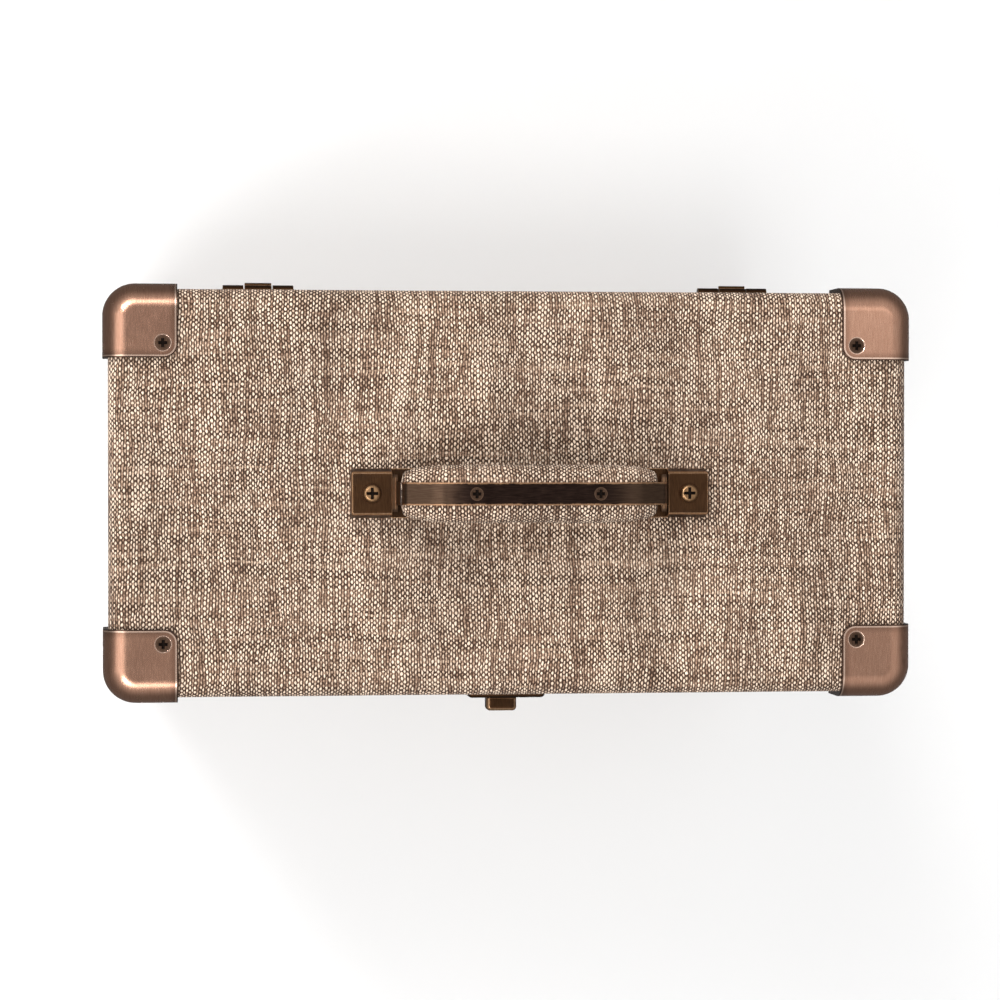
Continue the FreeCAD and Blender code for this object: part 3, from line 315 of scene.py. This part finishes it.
def cloth_skin(name, node, rim_out):
    """Cloth over one open box of boards: rim_out is 1 where the rim is below (lid), -1 where above."""
    low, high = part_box(node)
    half_x = (high[0] - low[0]) / 2
    half_y = (high[1] - low[1]) / 2
    middle = ((low[0] + high[0]) / 2, (low[1] + high[1]) / 2, 0)
    height = high[2] - low[2]
    base_ring = outline(half_x, half_y, CORNER, CLOTH_STEP)
    profile = [(TURN_IN, 0.0), (TURN_IN / 2, 0.0), (RIM, 0.0), (RIM * 0.3, RIM * 0.3), (0.0, RIM)]
    walls = round((height - EDGE) / CLOTH_STEP)
    profile += [(0.0, RIM + (height - EDGE - RIM) * part / walls) for part in range(1, walls + 1)]
    for bend in range(1, EDGE_STEPS + 1):
        angle = math.pi / 2 * bend / EDGE_STEPS
        profile.append((EDGE * (1 - math.cos(angle)), height - EDGE + EDGE * math.sin(angle)))
    mesh = bmesh.new()
    threads = mesh.loops.layers.uv.new("threads")
    rings = []

    def put(x, y, up):
        z = low[2] + up if rim_out > 0 else high[2] - up
        return mesh.verts.new((x, y, z))

    for inset, up in profile:
        rings.append([put(*(point - out * inset), up) for point, out, quarter, bend in base_ring])
    inner = [Vector(v.co[:2]) for v in rings[-1]]
    spine = half_x - half_y
    rounds = round((half_y - EDGE) / CLOTH_STEP)
    for ring in range(1, rounds + 1):
        share = ring / rounds
        rings.append([put(*point.lerp(Vector((max(-spine, min(spine, point.x)), 0)), share), height)
                      for point in inner])
    top_start = len(profile) - 1
    arc = [0.0]
    for (inset_a, up_a), (inset_b, up_b) in zip(profile, profile[1:]):
        arc.append(arc[-1] + math.hypot(inset_b - inset_a, up_b - up_a))
    down = [arc[-1] - length for length in arc]
    count = len(base_ring)

    def thread_place(level, index, on_side):
        vertex = rings[level][index % count]
        if level >= top_start:
            return Vector(vertex.co[:2])
        point, out, quarter, bend = base_ring[index % count]
        bend_run = 0.0
        if bend <= 1.0:
            toward = bend if on_side else 1 - bend
            toward = toward if quarter % 2 == 0 else 1 - toward
            bend_run = CORNER * math.pi / 2 * toward
        sign_x = math.copysign(1, point.x)
        sign_y = math.copysign(1, point.y)
        if on_side:
            y = sign_y * (half_y - CORNER + bend_run) if bend <= 1.0 else point.y
            return Vector((sign_x * (half_x - EDGE + down[level]), y))
        x = sign_x * (half_x - CORNER + bend_run) if bend <= 1.0 else point.x
        return Vector((x, sign_y * (half_y - EDGE + down[level])))

    for level in range(len(rings) - 1):
        for index in range(count):
            following = (index + 1) % count
            near, far = rings[level], rings[level + 1]
            corners = [near[index], near[following], far[following], far[index]]
            if rim_out < 0:
                corners.reverse()
            face = mesh.faces.new(corners)
            face.smooth = True
            out = base_ring[index][1] + base_ring[following][1]
            on_side = abs(out.x) > abs(out.y)
            keys = [(level, index), (level, index + 1), (level + 1, index + 1), (level + 1, index)]
            if rim_out < 0:
                keys.reverse()
            for loop, (ring, step) in zip(face.loops, keys):
                loop[threads].uv = thread_place(ring, step, on_side)
    bmesh.ops.remove_doubles(mesh, verts=rings[-1], dist=0.01 * MM)
    centre = Vector((0, 0, (low[2] + high[2]) / 2))
    for vertex in mesh.verts:
        swell = sum(noise.noise(vertex.co * often) * deep for often, deep in SWELLS)
        vertex.co -= (vertex.co - centre).normalized() * abs(swell)
    bmesh.ops.translate(mesh, verts=mesh.verts, vec=middle)
    bmesh.ops.recalc_face_normals(mesh, faces=mesh.faces)
    data = bpy.data.meshes.new(name)
    mesh.to_mesh(data)
    mesh.free()
    piece = bpy.data.objects.new(name, data)
    bpy.context.collection.objects.link(piece)
    data.materials.append(cloth_material)
    shell = piece.modifiers.new("thickness", "SOLIDIFY")
    shell.thickness = CLOTH_THICK
    shell.offset = -1
    return piece


lid_cloth = cloth_skin("lid_cloth", "lid_cover", 1)
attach(lid_cloth, "lid")
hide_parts("lid_cover")
body_cloth = cloth_skin("body_cloth", "body_cover", -1)
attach(body_cloth, "body")
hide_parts("body_cover")

# Boards. Ten plain fibreboard panels under the cloth, glued and mitred; only their edges could be
# seen from inside, so they have a fine pressed-fibre grain.
def dress(finish, *names):
    """Gives a finish to nodes of the frame."""
    for name in names:
        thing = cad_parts[name]
        thing.data.materials.clear()
        thing.data.materials.append(finish.material)


fibreboard = Finish("pressed_fibreboard", Roughness=0.85)
grain = fibreboard.noise(fibreboard.place(), 900.0, 5.0, 0.7)
fibreboard.colour(fibreboard.ramp(grain, (0.3, (0.20, 0.12, 0.065)), (0.7, (0.36, 0.24, 0.14))))
fibreboard.bump(grain, 0.15 * MM, 0.5)
dress(fibreboard, *[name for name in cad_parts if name.endswith("_board")])

# Lining. Black paper-backed cloth glued inside body and lid, with a matt grained face; the collar
# strip that centres the lid is covered with the same.
lining = Finish("black_lining", Roughness=0.8, Sheen_Weight=0.15)
nap = lining.noise(lining.place(), 1400.0, 4.0, 0.7)
lining.colour(lining.ramp(nap, (0.3, (0.008, 0.007, 0.007)), (0.75, (0.035, 0.03, 0.028))))
lining.bump(nap, 0.12 * MM, 0.7)
dress(lining, "body_lining", "lid_lining", "body_collar")

# Corner caps. Pressed steel in three legs, copper plated and brushed across the corner, darker in a band in
# from the free rims, with a painted shade line along those rims, a painted highlight line inside it and a
# painted highlight round each screw seat; each is held by three cross-head screws in pressed seats.
COPPER = (0.49, 0.262, 0.176)
COPPER_PALE = (0.61, 0.35, 0.243)
COPPER_TARNISH = (0.17, 0.088, 0.058)
COPPER_HIGHLIGHT = (0.92, 0.66, 0.52)
COPPER_RIM_SHADE = (0.06, 0.032, 0.022)
CAP_RIM = 0.5 * MM
SOFT_RIM = 0.35 * MM
WELD = 0.002 * MM
SHARP = 0.55
ROLL_LOW = 0.30
ROLL_HIGH = 0.93
BRUSH = (5200, 220, 220)
BRUSH_TURN = (0.3, 0.5, 0.8)


def stand_in(node, name, *finishes):
    """A copy of a node's mesh as a piece that replaces the node, with its finishes."""
    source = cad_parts[node]
    data = source.data.copy()
    data.name = name
    piece = bpy.data.objects.new(name, data)
    piece.matrix_world = source.matrix_world
    bpy.context.collection.objects.link(piece)
    data.materials.clear()
    for finish in finishes:
        data.materials.append(finish.material)
    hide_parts(node)
    return piece


def softened(node, name, body, finish, rim=SOFT_RIM, wear_and_highlight=None, rolled=False):
    """A pressed or cast piece with its sharp rims rounded; they can be worn brighter, and rolled faces that
    tilt up can take the same bright finish as a painted highlight.
    """
    piece = stand_in(node, name, finish, *([wear_and_highlight] if wear_and_highlight else []))
    data = piece.data
    mesh = bmesh.new()
    mesh.from_mesh(data)
    bmesh.ops.remove_doubles(mesh, verts=mesh.verts, dist=WELD)
    bmesh.ops.dissolve_limit(mesh, angle_limit=0.01, verts=mesh.verts, edges=mesh.edges)
    sharp = [edge for edge in mesh.edges if edge.is_manifold and edge.calc_face_angle(0) > SHARP]
    rims = bmesh.ops.bevel(mesh, geom=sharp, offset=rim, segments=3, profile=0.5,
                           affect="EDGES", clamp_overlap=True)
    edge_faces = set(rims["faces"])
    if wear_and_highlight:
        for face in mesh.faces:
            # Rims worn brighter; with rolled, faces tilting up get the same bright finish as a painted
            # highlight.
            if face in edge_faces or (rolled and ROLL_LOW < face.normal.z < ROLL_HIGH):
                face.material_index = 1
    bmesh.ops.triangulate(mesh, faces=[face for face in mesh.faces if len(face.verts) > 4])
    for face in mesh.faces:
        face.smooth = True
    mesh.to_mesh(data)
    mesh.free()
    weighted = piece.modifiers.new("even_shading", "WEIGHTED_NORMAL")
    weighted.keep_sharp = True
    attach(piece, body)
    return piece


def plated(name, bright, pale, dark, rough, dark_share=0.5, pitted=0.6, uneven=0.17, bumpy=0.5):
    """Plated metal with fine slanting brush marks, blotchy tarnish and small pits."""
    metal = Finish(name, Metallic=1.0)
    place = metal.place()
    brushed = metal.noise(metal.stretch(place, BRUSH, BRUSH_TURN), 1.0, 3.0, 0.6)
    blotch = metal.noise(place, 55.0, 4.0, 0.65)
    pits = metal.noise(place, 700.0, 3.0, 0.7)
    colour = metal.mix(metal.between(brushed, 0.35, 0.68), bright, pale)
    colour = metal.mix(metal.between(blotch, dark_share, dark_share + 0.25, 0.0, 0.75), colour, dark)
    if pitted:
        colour = metal.mix(metal.between(pits, 0.62, 0.74, 0.0, pitted), colour, dark)
    metal.colour(colour)
    metal.rough(metal.math("ADD", metal.between(blotch, 0.3, 0.7, rough - 0.4 * uneven, rough + 0.6 * uneven),
                           metal.math("MULTIPLY", brushed, 0.7 * uneven)))
    metal.bump(metal.math("ADD", brushed, metal.math("MULTIPLY", pits, 0.4)), 0.03 * MM, bumpy)
    return metal


FREE_CORNER = 6 * MM
RIM_SHADE_SPAN = (0.35 * MM, 0.60 * MM)
RIM_HIGHLIGHT_FROM = (0.45 * MM, 0.65 * MM)
RIM_HIGHLIGHT_TO = (1.0 * MM, 1.35 * MM)
HOLLOW = (1.2 * MM, 4.5 * MM)
SCREW_IN = 6.5 * MM
SCREW_HEAD = 3.2 * MM


def cap_finish():
    """Satin copper, darker in a band in from the free rims, with a painted shade line along those rims, a
    painted highlight line inside it and a painted highlight round each screw seat.
    """
    copper = plated("brushed_copper", COPPER, COPPER_PALE, COPPER_TARNISH, 0.245, 0.62, 0, 0.04, 0.2)
    split = copper.tree.nodes.new("ShaderNodeSeparateXYZ")
    copper.feed(split.inputs[0], copper.add("Attribute", attribute_name="from_rim", output=1))
    x, y, z = split.outputs
    nearest = copper.math("MINIMUM", copper.math("MINIMUM", x, y), z)
    total = copper.math("ADD", copper.math("ADD", x, y), z)
    farthest = copper.math("MAXIMUM", copper.math("MAXIMUM", x, y), z)
    second = copper.math("SUBTRACT", copper.math("SUBTRACT", total, farthest), nearest)
    short = [copper.math("MAXIMUM", copper.math("SUBTRACT", FREE_CORNER, run), 0.0)
             for run in (nearest, second)]
    inward = copper.math("SUBTRACT", FREE_CORNER, copper.hypot(*short))
    # Painted shade in a line along the free rims, and a painted highlight line just inside it.
    rim_shade = copper.between(inward, *RIM_SHADE_SPAN, 0.9, 0.0)
    rim_highlight = copper.math("MULTIPLY", copper.between(inward, *RIM_HIGHLIGHT_FROM),
                              copper.between(inward, *RIM_HIGHLIGHT_TO, 1.0, 0.0))
    colour = copper.shader.inputs["Base Color"].links[0].from_socket
    # Darker in a band 1.2 to 4.5 mm in from the free rims.
    colour = copper.mix(copper.between(inward, *HOLLOW, 0.42, 0.0), colour, COPPER_TARNISH)
    # A painted highlight in a ring on the pressed seat just outside each screw head.
    aside = [copper.math("SUBTRACT", run, SCREW_IN) for run in (nearest, second)]
    off_screw = copper.hypot(*aside)
    seat_highlight = copper.math("MULTIPLY", copper.between(off_screw, SCREW_HEAD, SCREW_HEAD + 0.25 * MM),
                       copper.between(off_screw, SCREW_HEAD + 0.5 * MM, SCREW_HEAD + 0.9 * MM, 0.8, 0.0))
    colour = copper.mix(seat_highlight, colour, COPPER_HIGHLIGHT)
    colour = copper.mix(rim_highlight, colour, COPPER_HIGHLIGHT)
    copper.colour(copper.mix(rim_shade, colour, COPPER_RIM_SHADE))
    return copper


copper = cap_finish()
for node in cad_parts:
    if "_cap_" in node and "screws" not in node:
        body = node.split("_")[0]
        cap = softened(node, node.replace("_cap_", "_corner_cap_"), body, copper, CAP_RIM)
        low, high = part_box(node)
        inner = (low[0] if low[0] > 0 else high[0], low[1] if low[1] > lid_middle else high[1],
                 low[2] if body == "lid" else high[2])
        from_rim = cap.data.attributes.new("from_rim", "FLOAT_VECTOR", "POINT")
        for vertex, place in zip(cap.data.vertices, from_rim.data):
            place.vector = [abs(now - start) for now, start in zip(vertex.co, inner)]

# Cap screws. Countersunk cross-head screws of browned steel, with painted shade dark in their cross
# recesses, as in those of all the other screws.
CROSS_HALF = 0.7 * MM
CROSS_SHARE = 0.64
CROSS_SHADE = (0.004, 0.002, 0.0015)
RECESS_SHARE = 0.62
RECESS_DEEP = 2.5 * MM
HEAD_DEEP = 0.6 * MM


def crossed(finish, ring):
    """Paints shade on the arms of the cross recess on a screw's head, and gives the head's rim a colour."""
    split = finish.tree.nodes.new("ShaderNodeSeparateXYZ")
    finish.feed(split.inputs[0], finish.add("Attribute", attribute_name="on_head", output=1))
    first, second, radius = split.outputs
    first, second = finish.math("ABSOLUTE", first), finish.math("ABSOLUTE", second)
    short = finish.math("MINIMUM", first, second)
    long = finish.math("DIVIDE", finish.math("MAXIMUM", first, second), radius)
    arms = finish.math("MULTIPLY",
                       finish.between(short, CROSS_HALF - 0.12 * MM, CROSS_HALF + 0.08 * MM, 1.0, 0.0),
                       finish.between(long, CROSS_SHARE - 0.05, CROSS_SHARE + 0.03, 1.0, 0.0))
    from_middle = finish.math("DIVIDE", finish.hypot(first, second), radius)
    colour = finish.shader.inputs["Base Color"].links[0].from_socket
    colour = finish.mix(finish.between(from_middle, 0.84, 0.92, 0.0, 0.8), colour, ring)
    # Painted shade: the arms of the cross recess are near black.
    finish.colour(finish.mix(arms, colour, CROSS_SHADE))
    finish.rough(finish.mix(arms, finish.shader.inputs["Roughness"].links[0].from_socket, (0.8, 0.8, 0.8)))
    return finish


recess_shade = Finish("painted_recess_shade", Roughness=0.8, Specular_IOR_Level=0.08)
specks = recess_shade.noise(recess_shade.place(), 2500.0)
recess_shade.colour(recess_shade.ramp(specks, (0.3, (0.005, 0.003, 0.002)), (0.7, (0.018, 0.011, 0.008))))


def screws(node, name, body, finish):
    """Screws in place of their node, with painted shade in their recesses."""
    piece = stand_in(node, name, finish, recess_shade)
    data = piece.data
    mesh = bmesh.new()
    mesh.from_mesh(data)
    bmesh.ops.remove_doubles(mesh, verts=mesh.verts, dist=WELD)
    on_head = mesh.verts.layers.float_vector.new("on_head")
    left = list(mesh.verts)
    seen = set()
    while left:
        start = left.pop()
        if start in seen:
            continue
        seen.add(start)
        screw = [start]
        for vertex in screw:
            for edge in vertex.link_edges:
                other = edge.other_vert(vertex)
                if other not in seen:
                    seen.add(other)
                    screw.append(other)
        low = [min(vertex.co[run] for vertex in screw) for run in range(3)]
        high = [max(vertex.co[run] for vertex in screw) for run in range(3)]
        span = [b - a for a, b in zip(low, high)]
        spare = [min(abs(span[run] - span[other]) for other in range(3) if other != run) for run in range(3)]
        axis = spare.index(max(spare))
        across = [run for run in range(3) if run != axis]
        radius = span[across[0]] / 2

        def off_axis(place):
            return [place[run] - (low[run] + high[run]) / 2 for run in across]

        for vertex in screw:
            vertex[on_head] = (*off_axis(vertex.co), radius)
        wide = max(screw, key=lambda vertex: math.hypot(*off_axis(vertex.co))).co[axis]
        out = 1 if high[axis] - wide < wide - low[axis] else -1
        head = high[axis] if out > 0 else low[axis]
        # Faces inside the cross recess get the near-black finish as painted shade.
        for face in {face for vertex in screw for face in vertex.link_faces}:
            centre = face.calc_center_median()
            depth = abs(head - centre[axis])
            inside = math.hypot(*off_axis(centre)) < RECESS_SHARE * radius and depth < RECESS_DEEP
            if inside and (face.normal[axis] * out < 0.6 or depth > HEAD_DEEP):
                face.material_index = 1
    for face in mesh.faces:
        face.smooth = True
    for edge in mesh.edges:
        edge.smooth = edge.calc_face_angle(0) < SHARP
    mesh.to_mesh(data)
    mesh.free()
    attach(piece, body)


screw_metal = crossed(plated("browned_screw", (0.055, 0.032, 0.021), (0.115, 0.068, 0.046),
                             (0.025, 0.015, 0.011), 0.34, 0.5), (0.13, 0.078, 0.052))
screws("lid_cap_screws", "lid_corner_screws", "lid", screw_metal)
screws("body_cap_screws", "body_corner_screws", "body", screw_metal)

# Hinges. Two butt hinges of 1.2 mm plate rolled round a steel pin, in dark antique bronze rubbed
# brighter on the knuckles, with countersunk screws.
BRONZE = (0.059, 0.0275, 0.013)
BRONZE_RUBBED = (0.093, 0.0455, 0.0215)
BRONZE_DARK = (0.030, 0.018, 0.012)
LEAF_RIM = 0.2 * MM
bronze = plated("antique_bronze", BRONZE, BRONZE_RUBBED, BRONZE_DARK, 0.33, 0.5, 0.6, 0.10, 0.35)
wear_and_highlight_bronze = plated("wear_and_highlight_bronze", (0.44, 0.25, 0.13), (0.64, 0.40, 0.24), (0.12, 0.07, 0.045), 0.28, 0.56)
for side in ("left", "right"):
    for leaf, body in (("lower", "body"), ("upper", "lid")):
        softened(f"hinge_{leaf}_leaf_{side}", f"hinge_{body}_leaf_{side}", body, bronze,
                 LEAF_RIM, wear_and_highlight_bronze)
screws("hinge_lower_screws", "hinge_body_screws", "body", screw_metal)
screws("hinge_upper_screws", "hinge_lid_screws", "lid", screw_metal)

steel = plated("zinc_plated_steel", (0.45, 0.45, 0.44), (0.62, 0.62, 0.60), (0.16, 0.15, 0.14), 0.32, 0.55)
softened("hinge_pin_left", "hinge_pin_steel_left", "body", steel, 0.3 * MM)
softened("hinge_pin_right", "hinge_pin_steel_right", "body", steel, 0.3 * MM)

# Latch. A base plate and a pressed housing on the body, a bent tongue on the lid that drops into it,
# and a cast button that slides in its slot against a spring; the inside works are spring steel.
softened("latch_base_plate", "latch_back_plate", "body", bronze, 0.3 * MM, wear_and_highlight_bronze)
softened("latch_housing", "latch_case", "body", bronze, 0.7 * MM, wear_and_highlight_bronze)
softened("latch_tongue", "latch_hasp", "lid", bronze, 0.25 * MM, wear_and_highlight_bronze)
# The button's faces that tilt up carry a painted highlight.
softened("latch_button", "latch_knob", "latch_slide", bronze, 0.6 * MM, wear_and_highlight_bronze, True)
screws("latch_screws", "latch_case_screws", "body", screw_metal)
screws("latch_tongue_screws", "latch_hasp_screws", "lid", screw_metal)
dress(steel, "latch_slider")

# Latch springs. The catch is a bent strip that draws back out of the tongue's window as the button
# slides, and the return spring is a bowed strip between slider and housing.
catch = stand_in("latch_catch", "latch_catch_strip", steel)
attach(catch, "latch_slide")
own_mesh(catch)
spring = stand_in("latch_return_spring", "latch_spring_strip", steel)
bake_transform(spring)

# Handle mountings. A base plate and a stamped bracket box at each end of the handle, held by a
# pan-head machine screw through the lid board with a washer and a nut inside.
brass = crossed(plated("brassy_screw", (0.25, 0.140, 0.068), (0.38, 0.225, 0.118), (0.10, 0.06, 0.035),
                       0.34, 0.58), (0.20, 0.115, 0.06))
for side in ("left", "right"):
    softened(f"handle_base_plate_{side}", f"handle_foot_plate_{side}", "lid", bronze,
             0.25 * MM, wear_and_highlight_bronze)
    # The box's faces that tilt up carry a painted highlight.
    softened(f"handle_bracket_{side}", f"handle_box_{side}", "lid", bronze,
             0.5 * MM, wear_and_highlight_bronze, True)
screws("handle_bracket_screws", "handle_box_screws", "lid", brass)
dress(steel, "handle_washers", "handle_nuts")

# Strap. A flat band of spring steel over the grip, nearly black in the middle, lighter on its sloping
# shoulders as a painted reflection and bright along its edges, with one crosspiece caught in each bracket
# box and one in front of the box's mouth that carries painted highlight lines across it.
strap_low, strap_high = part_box("handle_strap")
strap_middle = (strap_low[0] + strap_high[0]) / 2
strap_side = (strap_low[1] + strap_high[1]) / 2
STRAP_HALF = 5 * MM
SHOULDER = (30 * MM, 46 * MM)
STOP_LINE = 1.2 * MM
STOP_FROM = 59.2 * MM
STOP_SOFT = 0.2 * MM
STOP_HALF = (6.4 * MM, 7.6 * MM)
strap = Finish("antique_strap", Metallic=1.0)
spot = strap.place()
split = strap.tree.nodes.new("ShaderNodeSeparateXYZ")
strap.feed(split.inputs[0], spot)
off_line = strap.math("ABSOLUTE", strap.math("SUBTRACT", split.outputs[1], strap_side))
edge_share = strap.math("DIVIDE", off_line, STRAP_HALF)
mottle = strap.noise(spot, 260.0, 4.0, 0.7)
brush = strap.noise(strap.stretch(spot, (160, 4200, 160)), 1.0, 3.0, 0.6)
rub = strap.between(strap.math("ADD", edge_share, strap.math("MULTIPLY", mottle, 0.45)), 1.0, 1.22)
away = strap.math("ABSOLUTE", strap.math("SUBTRACT", split.outputs[0], strap_middle))
# Painted reflection: the sloping shoulders are lighter.
shoulder_reflection = strap.between(away, *SHOULDER, 0.0, 0.75)
dark_band = strap.mix(strap.between(brush, 0.35, 0.7), (0.018, 0.010, 0.008), (0.042, 0.025, 0.019))
wear_and_reflection_band = strap.mix(strap.between(brush, 0.3, 0.7), (0.090, 0.053, 0.034), (0.140, 0.086, 0.056))
line = strap.between(strap.math("MULTIPLY_ADD", mottle, 0.22, edge_share), 0.96, 1.02)
line = strap.math("MULTIPLY", line, strap.between(away, STOP_FROM, STOP_FROM + STOP_SOFT, 1.0, 0.0))
# Painted highlights: bright lines across the crosspiece in front of the mouth.
wave = strap.math("SINE", strap.math("MULTIPLY", away, 2 * math.pi / STOP_LINE))
crosspiece_highlights = strap.math("MULTIPLY", strap.between(wave, -0.3, 0.6, 0.25, 1.0),
                     strap.between(off_line, *STOP_HALF, 1.0, 0.0))
crosspiece_highlights = strap.math("MULTIPLY", crosspiece_highlights, strap.between(away, STOP_FROM, STOP_FROM + STOP_SOFT))
colour = strap.mix(strap.math("MAXIMUM", rub, shoulder_reflection), dark_band, wear_and_reflection_band)
line = strap.math("MAXIMUM", line, crosspiece_highlights)
strap.colour(strap.mix(line, colour, (0.40, 0.225, 0.125)))
strap.rough(strap.between(mottle, 0.3, 0.7, 0.28, 0.42))
strap.bump(brush, 0.02 * MM, 0.4)
softened("handle_strap", "handle_band", "handle", strap, 0.5 * MM)
screws("grip_screws", "handle_band_screws", "handle", screw_metal)

# Grip. A wooden core wrapped in the case's own cloth under the strap, thick in the middle and
# tapering to rounded ends, with the cloth pulled slightly uneven and pleated towards the ends.
grip_low, grip_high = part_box("grip_cover")
GRIP_RINGS = 72
GRIP_ROUND = 48
GRIP_SHIFT = 2.2 * MM
grip_middle = (grip_low[0] + grip_high[0]) / 2 - GRIP_SHIFT
grip_side = (grip_low[1] + grip_high[1]) / 2
grip_half = (grip_high[0] - grip_low[0]) / 2 + 1 * MM
grip_wide = (grip_high[1] - grip_low[1]) / 2
STRAP_POINTS = ((0, 33.25), (30, 33.25), (44, 30.45), (58, 22.75))
THICK_SHARES = ((0, 1.0), (0.4, 0.985), (0.62, 0.93), (0.77, 0.86), (0.89, 0.73), (1.0, 0.52))
WIDTH_SHARES = ((0, 0.99), (0.4, 1.0), (0.62, 0.985), (0.77, 0.96), (0.89, 0.885), (1.0, 0.74))
GRIP_CLOSING = 0.955
GRIP_THICK = 14.5 * MM
STRAP_SHEET = 1.5 * MM
GRIP_SINK = 0.4 * MM
GRIP_SQUARE = 0.72
GRIP_RUN = 2 * math.pi * 10.5 * MM / GRIP_ROUND
PULL = 0.25 * MM
PLEAT = 0.12 * MM


def along(table_of, x):
    """Reads a short list of points at x, with straight lines between them."""
    for (x_a, y_a), (x_b, y_b) in zip(table_of, table_of[1:]):
        if x <= x_b:
            share = (x - x_a) / (x_b - x_a)
            return y_a + (y_b - y_a) * share
    return table_of[-1][1]


def eased(table_of, x, reach):
    """The same with its bends rounded over a reach to both sides."""
    return sum(along(table_of, abs(x + reach * part)) for part in (-1, -0.5, 0, 0.5, 1)) / 5


def grip_section(share):
    """Middle height, half width and half thickness of the grip at a share of its half length."""
    x = share * grip_half
    high = lid_top + eased(STRAP_POINTS, abs(x - GRIP_SHIFT) / MM, 4) * MM - STRAP_SHEET / 2 + GRIP_SINK
    thick = eased(THICK_SHARES, abs(share), 0.05) * GRIP_THICK
    wide = eased(WIDTH_SHARES, abs(share), 0.05) * grip_wide
    thick_before = thick
    if abs(share) > GRIP_CLOSING:
        close = math.sqrt(max(0.0, 1 - ((abs(share) - GRIP_CLOSING) / (1 - GRIP_CLOSING)) ** 2))
        thick *= 0.45 + 0.55 * close
        wide *= 0.5 + 0.5 * close
    return x, high - thick_before / 2, wide, thick / 2


mesh = bmesh.new()
threads = mesh.loops.layers.uv.new("threads")
rings = []
for ring in range(GRIP_RINGS + 1):
    share = -math.cos(math.pi * ring / GRIP_RINGS) * 0.35 + (2 * ring / GRIP_RINGS - 1) * 0.65
    x, middle_z, wide, thick = grip_section(share)
    loop = []
    for step in range(GRIP_ROUND):
        angle = 2 * math.pi * step / GRIP_ROUND
        cosine, sine = math.cos(angle), math.sin(angle)
        y = math.copysign(abs(cosine) ** GRIP_SQUARE, cosine) * wide
        z = math.copysign(abs(sine) ** GRIP_SQUARE, sine) * thick
        pull = noise.noise(Vector((x * 90, y * 160, z * 160))) * PULL
        pull += math.sin(x * 900 + 3 * math.sin(angle)) * PLEAT * abs(share) ** 4
        shrink = 1 - abs(pull) / max(wide, thick)
        loop.append(mesh.verts.new((grip_middle + x, grip_side + y * shrink, middle_z + z * shrink)))
    rings.append(loop)
for near, far in zip(rings, rings[1:]):
    for step in range(GRIP_ROUND):
        following = (step + 1) % GRIP_ROUND
        face = mesh.faces.new((near[step], near[following], far[following], far[step]))
        face.smooth = True
        for corner, turn in zip(face.loops, (step, step + 1, step + 1, step)):
            corner[threads].uv = (corner.vert.co.x, turn * GRIP_RUN)
for ring, order in ((rings[0], 1), (rings[-1], -1)):
    end_face = mesh.faces.new(ring[::order])
    end_face.smooth = True
bmesh.ops.recalc_face_normals(mesh, faces=mesh.faces)
data = bpy.data.meshes.new("grip_wrap")
mesh.to_mesh(data)
mesh.free()
grip_wrap = bpy.data.objects.new("grip_wrap", data)
bpy.context.collection.objects.link(grip_wrap)
data.materials.append(cloth_material)
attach(grip_wrap, "handle")
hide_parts("grip_cover", "grip_core")
